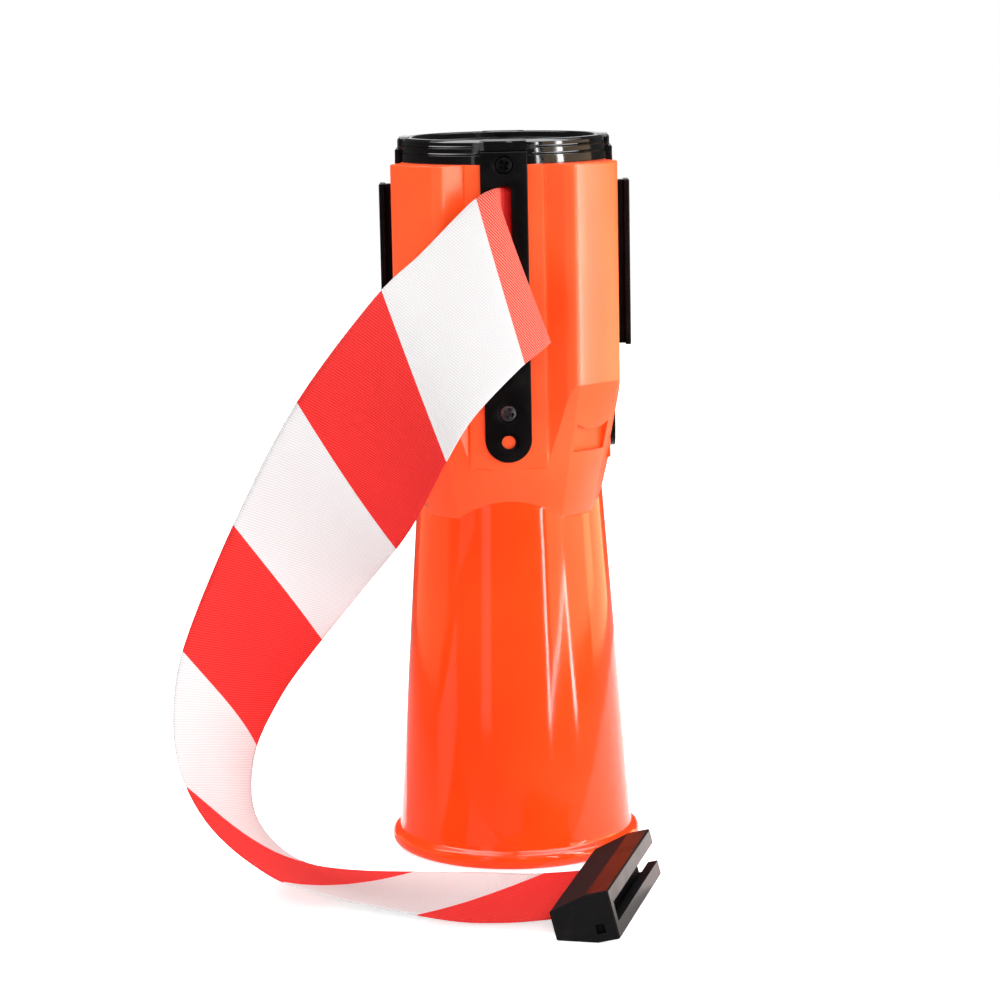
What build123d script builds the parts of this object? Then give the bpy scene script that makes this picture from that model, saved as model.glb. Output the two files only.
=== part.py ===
from build123d import *
from math import acos, atan2, cos, degrees, hypot, pi, radians, sin, sqrt, tan
import os

# Cone topper belt barrier, in millimetres. The origin is on the floor at the middle of the skirt's rim,
# +Z is up and the belt slot faces -Y. The skirt slips over the tip of a traffic cone.

# Driving sizes: the floor's height sets the skirt, the belt's width the upper body, the pads what is round it
floor_top = 217.0          # floor over the cone's tip, on which the belt cassette stands
belt_width = 75.0
pad_face = 49.0            # from the axis to a flat pad that carries a plate
wall = 3.0                 # moulded wall of the upper body
over = 1.0                 # how far a cut runs on past the face that it opens
bite = 0.5                 # how far a rib or neck runs into the piece that it grows from

# Housing: the lobed upper body
head_room = 10.8           # from the belt's upper edge to the rim
pad_half = 18.4            # half the width of a pad
pad_drop = 23.7            # from the floor down to a pad's straight foot
pad_step = 1.35            # from a pad down to the valley beside it
pad_draft = 0.6            # how far a pad's side leans out at its root
shoulder_x = 27.5          # where the straight flank ends and the crown starts
shoulder_rise = 3.5        # that point above the pad
crown_bulge = 0.67         # crown between shoulder and crease, above its chord
corner_reach = 13.8        # round outer face of each corner, beyond the pads
crease_angle = 32.5        # sharp edge between crown and corner, from the middle of the side, degrees
deck_gap = 0.3             # radial, cap's spigot in the round opening of the top deck

# Housing: the taper that draws the body in to the skirt, as two rounded squares
taper_rise = 13.0          # its upper square, above the floor
taper_spread = 8.5         # that square's half width beyond the pads
taper_top_flat = 10.9      # half the straight stretch of its sides
taper_drop = 49.0          # its lower square, below the floor
taper_sink = 2.77          # that square's half width inside the skirt
taper_foot_flat = 6.5

# Housing: the skirt that goes over the cone
skirt_foot_radius = 57.8
skirt_slope = 0.0722       # radius lost for each millimetre of height
skirt_wall = 2.7
skirt_drop = 31.0          # the cone runs on inside the taper to this far below the floor
bead_radius = 4.2          # rolled bead at the rim
bead_outer = 61.3
floor_thick = 11.0         # from the socket's ceiling to the floor

# Housing: thumb pockets in the four corners
pocket_drop = 17.0         # from the floor down to a pocket's foot
pocket_tall = 13.8         # at its two ends
pocket_dip = 3.2           # how far its curved upper edge dips in the middle
pocket_width = 21.0
pocket_back = 51.2         # from the axis to the back wall at its foot, on the diagonal
pocket_lean = 2.2          # how far the back wall leans out up to its upper edge

# Plates on the four pads
plate_width = 22.0
plate_thick = 2.8
plate_drop = 20.3          # from the floor down to a plate's round end
plate_rise = 5.9           # from the rim up to a plate's top
top_screw_drop = 0.3       # below the rim
low_screw_rise = 3.0       # above the floor
spare_hole_drop = 10.8     # below the floor
spare_hole = 6.5           # diameters
spare_ring = 10.0
spare_ring_depth = 0.9
slot_under = 4.1           # slot beyond the belt's edges
slot_over = 1.4
slot_width = 6.4
slot_round = 2.6
slot_lip = 0.8             # chamfer round the slot
window_gap = 3.0           # the opening in the housing is this much larger all round than the slot

# T-rails that take another unit's clip
rail_stand = 8.2           # from a plate's face to the rail's outer face
rail_over = 0.2            # rail above the belt's upper edge; its foot is level with the slot's
rail_flange = 2.7          # thickness of the T's head
rail_head_half = 7.6
rail_neck_half = 3.6
rail_lead = 1.0            # chamfer at the ends

# Screws: shank and head
screw_shank = 3.5          # diameters
screw_head = 8.0
screw_head_tall = 2.2
screw_length = 11.0
head_sink = 0.3            # a head lies this far below its plate's face
hole_gap = 0.1             # added to a shank's or pin's diameter for its hole
head_gap = 0.6             # added to a head's diameter for its recess
boss_radius = 4.4
boss_wall = 1.0            # beyond the screw's tip
boss_gap = 0.35            # room round the cap's bosses in the housing's notches

# Cap
cap_tall = 11.3
cap_spread = 1.5           # its lowest tier beyond the pads
cap_tier_step = 0.5        # each tier is this much narrower
cap_tier_rises = (4.6, 8.0)
cap_groove = 0.6
cap_edge = 1.0             # broken upper edge
cap_rim = 5.0              # width of the raised rim
dish_depth = 3.4
dish_lean = 2.0
cap_skin = 2.6
tab_spread = 1.6           # face of a tab beyond the pads
tab_rise = 0.6             # above the rim
tab_chamfer = 3.4
tab_lip = 0.6              # what the chamfer leaves of a tab's side
tab_gap = 0.2
spigot_inset = 5.6         # inside the pads
spigot_thick = 2.4
spigot_deep = 9.0
hold_ring = 24.0           # ring that keeps the cassette down
hold_ring_thick = 2.0

# Belt
belt_thick = 0.6
wound_length = 2400.0      # what is still on the reel
wound_packing = 1.05
wound_gap = 0.05           # radial, first turn on the hub
run_gap = 0.35             # between the turning roll and the run that leaves it
slot_reach = 1.0           # the run ends this far beyond the pad, inside the slot
slot_side = -1.0           # and this far from the slot's middle

# Reel, on a fixed shaft
shaft_radius = 4.0
shaft_stub = 3.5           # above the cassette
shaft_seat = 1.0           # wall under the shaft's foot
hub_radius = 15.0
hub_hollow = 12.0
hub_lead = 4.0             # cone between a bush's seat and the hollow
hub_seat = 13.0            # where the upper flange sits
flange_thick = 2.0
flange_gap = 1.0           # between the belt's edge and a flange
bush_radius = 6.0
bush_length = 10.0
bush_collar = 7.5
bush_collar_thick = 0.8
run_fit = 0.05             # radial, bush on shaft
press_gap = 0.02           # radial, pieces pressed together
drum_inset = 2.0           # spring drum inside the lower flange's edge
drum_wall = 2.0
drum_deep = 16.0
cover_thick = 2.0
cover_lip = 1.0
end_bar_radius = 1.5
end_bar_gap = 0.2

# Power spring
spring_strip = 0.6
spring_width = 13.0
spring_start = 5.2         # inside radius of the first half turn
spring_half_turns = 12
spring_gap = 0.4           # between the last turn and the drum's wall
spring_slit = 1.2          # slit in the shaft that holds its inner end
spring_tail = 1.0          # its end stops this far inside the shaft's far side

# Cassette frame
cassette_gap = 1.4         # between the frame and the housing's screw bosses
cassette_plate = 3.0
pedestal_radius = 10.0
pedestal_tall = 8.7
washer_thick = 0.8
end_play = 0.2
post_inset = 3.6           # post's axis inside the frame's edge
post_radius = 3.5
post_gap = 1.3             # between a post and the reel's flanges
post_screw = 3.0           # diameters
post_screw_head = 5.6
post_screw_deep = 9.0
post_screw_spare = 1.0     # thread left free under the screw's tip
post_head_tall = 2.0
sink_head_tall = 1.5
sink_gap = 0.1             # room under a sunk head
shaft_ring_thick = 1.0
shaft_ring_radius = 7.0
shaft_ring_hold = 0.8      # the ring's mouth as a share of the neck that it snaps on
neck_deep = 0.8

# Belt clip, lying on one sloped face on the floor
clip_margin = 12.5         # beyond each of the belt's edges
clip_slope_run = 18.2      # from the belt's side to where the land starts
clip_land = 10.4
clip_thin = 13.4
clip_thick = 22.6
clip_corner = (16.95, -117.9)   # near lower corner on the belt's side, from the slot
clip_turn = 13.5           # how far its length is turned from +Y to +X, degrees
clip_round = 0.8
rail_play = 0.9            # at each side of a rail's neck and head
lip_play = 0.6             # lips in the gap behind a rail's head
clip_pocket_deep = 5.5
clip_end_wall = 5.0
rod_radius = 1.95
rod_depth = 6.5            # from the belt's side to the rod's axis
rod_beyond = 3.5           # beyond each of the belt's edges
rod_gap = 0.05             # radial, rod in its blind seat
loop_gap = 0.1             # radial, belt loop on the rod
channel_gap = 0.5          # radial, clip round the loop
channel_side = 1.0         # clip beyond each of the loop's ends
clip_swing = 20.0          # the belt can lean this far either way in the mouth, degrees
core_hole = 4.4
core_hole_deep = 4.0
core_hole_at = (21.0, 5.2)

# The belt's upper and lower edge along its free stretch, from the slot to the clip, as drawn for a belt
# of the width and the height given here
drawn_width = 75.0
drawn_middle = 288.2
belt_edges = [
    ((-2.2, -2.2, 325.8), (0.5, -6.0, 251.0)),
    ((-3.0, -3.2, 325.9), (6.0, -13.5, 252.2)),
    ((-3.8, -3.9, 325.8), (13.0, -20.5, 254.3)),
    ((-5.0, -4.6, 325.5), (19.0, -28.5, 256.5)),
    ((-7.0, -5.6, 324.8), (19.3, -36.0, 256.6)),
    ((-11.0, -7.2, 322.9), (13.5, -46.0, 253.0)),
    ((-19.0, -11.5, 316.6), (4.5, -55.5, 247.0)),
    ((-39.0, -23.5, 297.5), (-15.5, -68.0, 228.0)),
    ((-60.0, -35.5, 279.0), (-28.5, -66.0, 207.5)),
    ((-96.0, -48.5, 233.5), (-46.5, -41.0, 172.0)),
    ((-125.0, -47.5, 181.0), (-69.0, -14.5, 141.0)),
    ((-149.5, -46.0, 126.0), (-97.0, 3.0, 105.0)),
    ((-156.5, -49.0, 97.0), (-113.5, 10.5, 81.0)),
    ((-155.0, -56.0, 68.5), (-126.0, 12.0, 54.0)),
    ((-142.5, -65.0, 43.5), (-126.0, 6.0, 26.0)),
    ((-121.0, -74.0, 25.0), (-108.0, -2.5, 7.0)),
    ((-94.5, -81.5, 13.5), (-80.0, -9.0, 1.6)),
    ((-37.0, -94.5, 4.0), (-21.5, -21.0, 3.0)),
    ((-8.0, -100.5, 3.4), (8.0, -27.5, 3.6)),
]
belt_steps = 3             # sections for each station

# Heights, worked out from the floor up
base_top = floor_top + cassette_plate
pedestal_top = base_top + pedestal_tall
cover_foot = pedestal_top + washer_thick + end_play
drum_foot = cover_foot + cover_thick
flange_low = drum_foot + drum_deep
belt_foot = flange_low + flange_thick + flange_gap
belt_top = belt_foot + belt_width
flange_high = belt_top + flange_gap
top_plate_foot = flange_high + flange_thick + bush_collar_thick + end_play
top_plate_top = top_plate_foot + cassette_plate
shaft_top = top_plate_top + shaft_stub
housing_top = belt_top + head_room
cap_top = housing_top + cap_tall
tab_top = cap_top + tab_rise
plate_foot = floor_top - plate_drop
plate_top = housing_top + plate_rise
top_screw_z = housing_top - top_screw_drop
low_screw_z = floor_top + low_screw_rise
spare_hole_z = floor_top - spare_hole_drop
slot_foot = belt_foot - slot_under
slot_top = belt_top + slot_over
rail_top = belt_top + rail_over
socket_top = floor_top - floor_thick
skirt_end = floor_top - skirt_drop
taper_foot = floor_top - taper_drop
taper_top = floor_top + taper_rise
pad_foot = floor_top - pad_drop
pocket_foot = floor_top - pocket_drop

# Distances from the axis, worked out from the pads
plate_face = pad_face + plate_thick
valley_face = pad_face - pad_step
inner_flat = valley_face - wall
corner_radius = pad_face + corner_reach
rail_face = plate_face + rail_stand
cap_radius = pad_face + cap_spread
tab_face = pad_face + tab_spread
spigot_outer = pad_face - spigot_inset
slot_point = pad_face + slot_reach
boss_end = plate_face - screw_length - boss_wall
cassette_radius = boss_end - cassette_gap
post_circle = cassette_radius - post_inset
flange_radius = post_circle - post_radius - post_gap
drum_radius = flange_radius - drum_inset
roll_radius = sqrt(hub_radius ** 2 + wound_length * belt_thick * wound_packing / pi)
spring_room = drum_radius - drum_wall - spring_gap - spring_start - spring_strip
spring_pitch = 2 * spring_room / spring_half_turns

# Sizes of the clip, worked out from the belt and the rails
clip_length = belt_width + 2 * clip_margin
clip_depth = clip_slope_run + clip_land
clip_slope = degrees(atan2((clip_thick - clip_thin) / 2, clip_slope_run))
clip_mouth = 2 * (rail_neck_half + rail_play)
clip_pocket_half = rail_head_half + rail_play
clip_lip = rail_stand - rail_flange - lip_play
rod_length = belt_width + 2 * rod_beyond

sides = {"front": 0, "right": 90, "back": 180, "left": 270}
low_end = (Align.CENTER, Align.CENTER, Align.MIN)
high_end = (Align.CENTER, Align.CENTER, Align.MAX)


def skirt_radius(z):
    return skirt_foot_radius - skirt_slope * z


def on_side(shape, side):
    return Rot(0, 0, sides[side]) * shape


def radial_cylinder(radius, start, end, z):
    plane = Plane(origin=(0, -start, z), x_dir=(1, 0, 0), z_dir=(0, -1, 0))
    return plane * Cylinder(radius, end - start, align=low_end)


def ring(outer, inner, foot, top):
    tube = Cylinder(outer, top - foot, align=low_end) - Cylinder(inner, top - foot, align=low_end)
    return Pos(0, 0, foot) * tube


def disc(radius, foot, top):
    return Pos(0, 0, foot) * Cylinder(radius, top - foot, align=low_end)


def block(x, y, z):
    size = (x[1] - x[0], y[1] - y[0], z[1] - z[0])
    return Pos(x[0], y[0], z[0]) * Box(*size, align=(Align.MIN, Align.MIN, Align.MIN))


def outline_face(points_for_side):
    # Joins the four sides' lines and arcs into one face; a run of three points is an arc.
    edges = []
    for turn in sides.values():
        place = Rot(0, 0, turn)
        for run in points_for_side:
            moved = [place * Pos(x, -d, 0) for x, d in run]
            points = [p.position for p in moved]
            edges.append(Line(*points) if len(points) == 2 else ThreePointArc(*points))
    return make_face(edges)


def crease(radius):
    return radius * sin(radians(crease_angle)), radius * cos(radians(crease_angle))


def crown_middle(start, end):
    length = hypot(end[0] - start[0], end[1] - start[1])
    normal = (-(end[1] - start[1]) / length, (end[0] - start[0]) / length)
    return (start[0] + end[0]) / 2 + normal[0] * crown_bulge, (start[1] + end[1]) / 2 + normal[1] * crown_bulge


def mirrored(point):
    return -point[0], point[1]


def outer_outline():
    lip = (pad_half, pad_face)
    foot = (pad_half + pad_draft, valley_face)
    shoulder = (shoulder_x, pad_face + shoulder_rise)
    edge = crease(corner_radius)
    middle = crown_middle(shoulder, edge)
    corner = corner_radius * sin(radians(45))
    next_edge = (edge[1], edge[0])
    return outline_face([
        [mirrored(edge), mirrored(middle), mirrored(shoulder)],
        [mirrored(shoulder), mirrored(foot)],
        [mirrored(foot), mirrored(lip)],
        [mirrored(lip), lip],
        [lip, foot],
        [foot, shoulder],
        [shoulder, middle, edge],
        [edge, (corner, corner), next_edge],
    ])


def inner_outline():
    # The wall is kept beside the flanks too, so the flat back of a pad is a little wider than the pad.
    incline = atan2(pad_step + shoulder_rise, shoulder_x - pad_half - pad_draft)
    root = (pad_half + pad_draft + wall * tan(incline / 2), inner_flat)
    edge = crease(corner_radius - wall)
    corner = (corner_radius - wall) * sin(radians(45))
    next_edge = (edge[1], edge[0])
    return outline_face([
        [mirrored(edge), mirrored(root)],
        [mirrored(root), root],
        [root, edge],
        [edge, (corner, corner), next_edge],
    ])


def taper_body(inset, top):
    # The two rounded squares, carried on in straight lines up to the given height
    reach = (top - taper_foot) / (taper_top - taper_foot)
    foot_half = skirt_radius(taper_foot) - taper_sink
    top_half = foot_half + (pad_face + taper_spread - foot_half) * reach
    top_flat = taper_foot_flat + (taper_top_flat - taper_foot_flat) * reach
    squares = []
    for half, flat, z in ((foot_half, taper_foot_flat, taper_foot), (top_half, top_flat, top)):
        squares.append(Pos(0, 0, z) * RectangleRounded(2 * (half - inset), 2 * (half - inset), half - flat - inset))
    return loft(squares, ruled=True)


def skirt_body():
    centre = bead_outer - bead_radius
    neck = 2 * bead_radius
    with BuildSketch(Plane.XZ) as profile:
        Polygon((0, 0), (centre, 0), (centre, neck), (skirt_radius(neck), neck), (skirt_radius(skirt_end), skirt_end),
                (0, skirt_end), align=None)
        with Locations((centre, bead_radius)):
            Circle(bead_radius)
    return revolve(profile.sketch, axis=Axis.Z)


def cone_socket():
    rim = skirt_foot_radius - skirt_wall
    return Cone(rim, rim - skirt_slope * socket_top, socket_top, align=low_end)


def pad_foot_block():
    # Below the floor the taper would round a pad off, so its straight foot is added again.
    return block((-pad_half, pad_half), (-pad_face, -inner_flat), (pad_foot, taper_top))


def thumb_pocket():
    # A leaning back wall, a flat foot and an upper edge that dips in the middle, cut straight outwards
    lean = atan2(pocket_lean, pocket_tall)
    plane = Plane(origin=(0, -pocket_back, pocket_foot), x_dir=(1, 0, 0), z_dir=(0, -cos(lean), -sin(lean)))
    half = pocket_width / 2
    end = pocket_tall / cos(lean)
    middle = (pocket_tall - pocket_dip) / cos(lean)
    edges = [
        Line((-half, 0), (half, 0)),
        Line((half, 0), (half, end)),
        ThreePointArc((half, end), (0, middle), (-half, end)),
        Line((-half, end), (-half, 0)),
    ]
    return Rot(0, 0, 45) * extrude(plane * make_face(edges), corner_radius, dir=(0, -1, 0))


def make_housing():
    upper = extrude(Pos(0, 0, taper_foot) * outer_outline(), housing_top - taper_foot)
    body = upper & taper_body(0, housing_top + wall)
    body += skirt_body()
    for side in sides:
        body += on_side(pad_foot_block(), side)
    body -= cone_socket()
    cavity = extrude(Pos(0, 0, floor_top) * inner_outline(), housing_top - wall - floor_top)
    body -= cavity & taper_body(wall, housing_top + wall)
    body -= disc(spigot_outer + deck_gap, housing_top - wall - over, housing_top + over)
    for side in sides:
        boss = radial_cylinder(boss_radius, boss_end, inner_flat + bite, low_screw_z)
        rib = block((-boss_radius, boss_radius), (-inner_flat - bite, -boss_end), (floor_top - bite, low_screw_z))
        body += on_side(boss + rib, side)
    for side in sides:
        pilot = radial_cylinder((screw_shank + hole_gap) / 2, boss_end - over, pad_face + over, low_screw_z)
        notch = radial_cylinder(boss_radius + boss_gap, spigot_outer - spigot_thick, pad_face + over, top_screw_z)
        body -= on_side(pilot + notch, side)
        body -= on_side(thumb_pocket(), side)
    window_half = slot_width / 2 + window_gap
    body -= block((-window_half, window_half), (-pad_face - over, -inner_flat + over),
                  (slot_foot - window_gap, slot_top + window_gap))
    return body


def plate_blank():
    radius = plate_width / 2
    tall = plate_top - plate_foot - radius
    with BuildSketch(Plane.XZ) as face:
        with Locations((0, plate_foot + radius)):
            Circle(radius)
        with Locations((0, plate_top - tall / 2)):
            Rectangle(plate_width, tall)
    blank = Pos(0, -pad_face, 0) * extrude(face.sketch, plate_thick)
    for z in (top_screw_z, low_screw_z):
        blank -= radial_cylinder((screw_shank + hole_gap) / 2, pad_face - over, plate_face + over, z)
        blank -= radial_cylinder((screw_head + head_gap) / 2, plate_face - screw_head_tall, plate_face + over, z)
    blank -= radial_cylinder(spare_hole / 2, pad_face - over, plate_face + over, spare_hole_z)
    blank -= radial_cylinder(spare_ring / 2, plate_face - spare_ring_depth, plate_face + over, spare_hole_z)
    return blank


def make_outlet_plate():
    slot = block((-slot_width / 2, slot_width / 2), (-plate_face - over, -pad_face + over), (slot_foot, slot_top))
    plate = plate_blank() - fillet(slot.edges().filter_by(Axis.Y), slot_round)
    lip = plate.faces().sort_by(Axis.Y)[0].inner_wires().sort_by(SortBy.LENGTH)[-1]
    return chamfer(lip.edges(), slot_lip)


def make_receiver_plate():
    neck = block((-rail_neck_half, rail_neck_half), (-rail_face + rail_flange / 2, -plate_face + bite),
                 (slot_foot, rail_top))
    head = block((-rail_head_half, rail_head_half), (-rail_face, -rail_face + rail_flange), (slot_foot, rail_top))
    ends = head.faces().sort_by(Axis.Z)
    return plate_blank() + neck + chamfer(ends[0].edges() + ends[-1].edges(), rail_lead)


def plate_screw(z):
    seat = plate_face - screw_head_tall
    shank = radial_cylinder(screw_shank / 2, plate_face - screw_length, seat, z)
    head = radial_cylinder(screw_head / 2, seat, plate_face - head_sink, z)
    return head + shank


def screw_group(z):
    return Compound(children=[on_side(plate_screw(z), side) for side in sides])


def cap_profile():
    # Right half of the cap's section: tiers with a groove between them, a broken edge and the dished top
    points = [(0, housing_top), (cap_radius, housing_top)]
    edge = cap_radius
    for rise in cap_tier_rises:
        z = housing_top + rise
        points += [(edge, z - cap_groove / 2), (edge - cap_groove, z)]
        edge -= cap_tier_step
        points.append((edge, z + cap_groove / 2))
    dish = cap_top - dish_depth
    points += [(edge, cap_top - cap_edge), (edge - cap_edge, cap_top), (edge - cap_rim, cap_top),
               (edge - cap_rim - dish_lean, dish), (0, dish)]
    return Plane.XZ * Polygon(*points, align=None)


def make_cap():
    roof = cap_top - dish_depth - cap_skin
    cap = revolve(cap_profile(), axis=Axis.Z)
    cap -= disc(cap_radius - cap_rim - cap_skin, housing_top - over, roof)
    cap += ring(spigot_outer, spigot_outer - spigot_thick, housing_top - spigot_deep, roof + bite)
    cap += ring(hold_ring, hold_ring - hold_ring_thick, top_plate_top, roof + bite)
    half = plate_width / 2
    for side in sides:
        flat = block((-half - tab_gap, half + tab_gap), (-cap_radius - over, -pad_face),
                     (housing_top - over, plate_top + tab_gap))
        tab = block((-half, half), (-tab_face, -pad_face + cap_rim), (plate_top + tab_gap, tab_top))
        uprights = tab.edges().filter_by(Axis.Z).group_by(Axis.Y)[0]
        tab = chamfer(uprights, tab_chamfer, tab_spread - tab_lip)
        boss = radial_cylinder(boss_radius, boss_end, pad_face, top_screw_z)
        pilot = radial_cylinder((screw_shank + hole_gap) / 2, boss_end - over, pad_face + over, top_screw_z)
        cap = cap - on_side(flat, side) + on_side(tab + boss, side) - on_side(pilot, side)
    return cap


def post_places():
    return [Rot(0, 0, 45 + turn) * Pos(0, -post_circle, 0) for turn in sides.values()]


def make_cassette_base():
    base = disc(cassette_radius, floor_top, base_top) + disc(pedestal_radius, base_top, pedestal_top)
    base -= disc(shaft_radius + press_gap, floor_top + shaft_seat, pedestal_top + over)
    hole = Cylinder((post_screw + hole_gap) / 2, 3 * cassette_plate)
    sink = Cone(post_screw_head / 2 + hole_gap, post_screw / 2, sink_head_tall + sink_gap, align=low_end)
    for post in post_places():
        base -= post * Pos(0, 0, floor_top) * (hole + sink)
    return base


def make_cassette_top():
    plate = disc(cassette_radius, top_plate_foot, top_plate_top)
    plate -= disc(shaft_radius + run_fit, top_plate_foot - over, top_plate_top + over)
    for post in post_places():
        plate -= post * Pos(0, 0, top_plate_foot) * Cylinder((post_screw + hole_gap) / 2, 3 * cassette_plate)
    return plate


def make_posts():
    tall = top_plate_foot - base_top
    hole = Cylinder((post_screw + hole_gap) / 2, post_screw_deep, align=low_end)
    post = Cylinder(post_radius, tall, align=low_end) - hole - Pos(0, 0, tall - post_screw_deep) * hole
    return Compound(children=[place * Pos(0, 0, base_top) * post for place in post_places()])


def make_post_screws():
    reach = cassette_plate + post_screw_deep - post_screw_spare
    upper = Cylinder(post_screw / 2, reach, align=high_end)
    upper += Cylinder(post_screw_head / 2, post_head_tall, align=low_end)
    lower = Cylinder(post_screw / 2, reach, align=low_end)
    lower += Cone(post_screw_head / 2, post_screw / 2, sink_head_tall, align=low_end)
    solids = []
    for place in post_places():
        solids.append(place * Pos(0, 0, top_plate_top) * upper)
        solids.append(place * Pos(0, 0, floor_top) * lower)
    return Compound(children=solids)


def make_shaft():
    shaft = disc(shaft_radius, floor_top + shaft_seat, shaft_top)
    shaft -= block((-shaft_radius - over, shaft_radius + over), (-spring_slit / 2, spring_slit / 2),
                   (drum_foot, flange_low - bush_collar_thick))
    neck = top_plate_top + end_play
    shaft -= ring(shaft_radius + over, shaft_radius - neck_deep, neck, neck + shaft_ring_thick + end_play)
    return shaft


def make_shaft_ring():
    foot = top_plate_top + end_play + end_play / 2
    neck = shaft_radius - neck_deep
    clip = ring(shaft_ring_radius, neck + run_fit, foot, foot + shaft_ring_thick)
    mouth = neck * shaft_ring_hold
    return clip - block((-mouth, mouth), (-shaft_ring_radius - over, 0), (foot - over, foot + shaft_ring_thick + over))


def make_washer():
    return ring(pedestal_radius, shaft_radius + 2 * run_fit, pedestal_top, pedestal_top + washer_thick)


def make_hub():
    bush = bush_radius + press_gap
    high = flange_high + flange_thick
    low = flange_low + flange_thick
    drum_inner = drum_radius - drum_wall
    with BuildSketch(Plane.XZ) as profile:
        Polygon((bush, flange_low), (drum_inner, flange_low), (drum_inner, drum_foot), (drum_radius, drum_foot),
                (drum_radius, flange_low), (flange_radius, flange_low), (flange_radius, low), (hub_radius, low),
                (hub_radius, flange_high), (hub_seat, flange_high), (hub_seat, high), (bush, high),
                (bush, high - bush_length), (hub_hollow, high - bush_length - hub_lead),
                (hub_hollow, flange_low + bush_length + hub_lead), (bush, flange_low + bush_length), align=None)
    hub = revolve(profile.sketch, axis=Axis.Z)
    half = end_bar_radius + end_bar_gap
    return hub - block((-half, half), (hub_radius - 2 * half, hub_radius + over), (low, belt_top + end_bar_gap))


def make_end_bar():
    bar = Cylinder(end_bar_radius, belt_width, align=low_end)
    return Pos(0, hub_radius - end_bar_radius - end_bar_gap, belt_foot) * bar


def make_upper_flange():
    return ring(flange_radius, hub_seat + press_gap, flange_high, flange_high + flange_thick)


def make_bushes():
    bore = shaft_radius + run_fit
    high = flange_high + flange_thick
    solids = []
    for foot, collar in ((flange_low, flange_low - bush_collar_thick), (high - bush_length, high)):
        bush = ring(bush_radius, bore, foot, foot + bush_length)
        solids.append(bush + ring(bush_collar, bore, collar, collar + bush_collar_thick))
    return Compound(children=solids)


def make_spring_cover():
    lid = ring(drum_radius, bush_collar, cover_foot, drum_foot)
    lip_outer = drum_radius - drum_wall - press_gap
    return lid + ring(lip_outer, lip_outer - drum_wall, drum_foot, drum_foot + cover_lip)


def half_turns(start, count):
    # A spiral of half circles whose centres step from side to side, so each meets the next smoothly
    arcs = []
    radius = start
    centre = 0.0
    sign = 1
    for _ in range(count):
        begin = (centre + sign * radius, 0)
        top = (centre, sign * radius)
        end = (centre - sign * radius, 0)
        arcs.append((begin, top, end))
        radius += spring_pitch / 2
        centre += sign * spring_pitch / 2
        sign = -sign
    return arcs


def make_spring():
    inside = half_turns(spring_start, spring_half_turns)
    outside = half_turns(spring_start + spring_strip, spring_half_turns)
    edges = [ThreePointArc(*arc) for arc in inside + outside]
    edges.append(Line(inside[-1][2], outside[-1][2]))
    tail = spring_tail - shaft_radius
    edges.append(Line(inside[0][0], (tail, 0)))
    edges.append(Line((tail, 0), (tail, -spring_strip)))
    edges.append(Line((tail, -spring_strip), (outside[0][0][0], -spring_strip)))
    edges.append(Line((outside[0][0][0], -spring_strip), outside[0][0]))
    foot = drum_foot + (drum_deep - bush_collar_thick - spring_width) / 2
    return Pos(0, spring_strip / 2, foot) * extrude(make_face(edges), spring_width)


def make_roll():
    return ring(roll_radius, hub_radius + wound_gap, belt_foot, belt_top)


def run_ends():
    # The straight run from the roll's right side to the slot, as its two ends in plan
    radius = roll_radius + run_gap + belt_thick / 2
    angle = atan2(-slot_point, slot_side) + acos(radius / hypot(slot_point, slot_side))
    return Vector(radius * cos(angle), radius * sin(angle), 0), Vector(slot_side, -slot_point, 0)


def make_inner_run():
    start, end = run_ends()
    plane = Plane(origin=start + Vector(0, 0, belt_foot), x_dir=end - start, z_dir=(0, 0, 1))
    return plane * Box((end - start).length, belt_thick, belt_width, align=(Align.MIN, Align.CENTER, Align.MIN))


def clip_plane():
    # In the clip, x runs from the belt's side to the mouth, y is down through its thickness, z is its length
    turn = radians(clip_turn)
    slope = radians(clip_slope)
    along = Vector(sin(turn), cos(turn), 0)
    across = Vector(cos(turn), -sin(turn), 0)
    deep = across * cos(slope) + Vector(0, 0, sin(slope))
    up = Vector(0, 0, cos(slope)) - across * sin(slope)
    corner = Vector(clip_corner[0], clip_corner[1] - slot_point, 0)
    return Plane(origin=corner + up * (clip_thin / 2), x_dir=deep, z_dir=along)


def make_clip():
    plane = clip_plane()
    half_thin = clip_thin / 2
    half_thick = clip_thick / 2
    face = plane * Polygon((0, -half_thin), (clip_slope_run, -half_thick), (clip_depth, -half_thick),
                           (clip_depth, half_thick), (clip_slope_run, half_thick), (0, half_thin), align=None)
    clip = extrude(face, clip_length, dir=plane.z_dir)
    clip = fillet(clip.edges(), clip_round)
    from_face = (Align.MIN, Align.CENTER, Align.MIN)
    pocket = Pos(clip_depth - clip_lip - clip_pocket_deep, 0, clip_end_wall)
    open_length = clip_length - clip_end_wall + over
    slot = pocket * Box(clip_pocket_deep, 2 * clip_pocket_half, open_length, align=from_face)
    slot += pocket * Box(clip_depth, clip_mouth, open_length, align=from_face)
    channel_foot = clip_margin - channel_side
    loop_radius = rod_radius + loop_gap + belt_thick
    channel = Pos(rod_depth, 0, channel_foot) * Cylinder(loop_radius + channel_gap, clip_length - channel_foot + over,
                                                         align=low_end)
    neck = belt_thick / 2 + channel_gap
    flare = neck + (rod_depth + over) * tan(radians(clip_swing))
    fan = Polygon((rod_depth, -neck), (rod_depth, neck), (-over, flare), (-over, -flare), align=None)
    mouth = Pos(0, 0, channel_foot) * extrude(fan, belt_width + 2 * channel_side)
    core = Pos(*core_hole_at, 0) * Box(core_hole, core_hole, 2 * core_hole_deep)
    seat = rod_place() * Cylinder(rod_radius + rod_gap, clip_margin, align=low_end)
    for cut in (slot, channel, mouth, core, seat):
        clip -= plane * cut
    return clip


def rod_place():
    return Pos(rod_depth, 0, clip_margin - rod_beyond)


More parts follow.
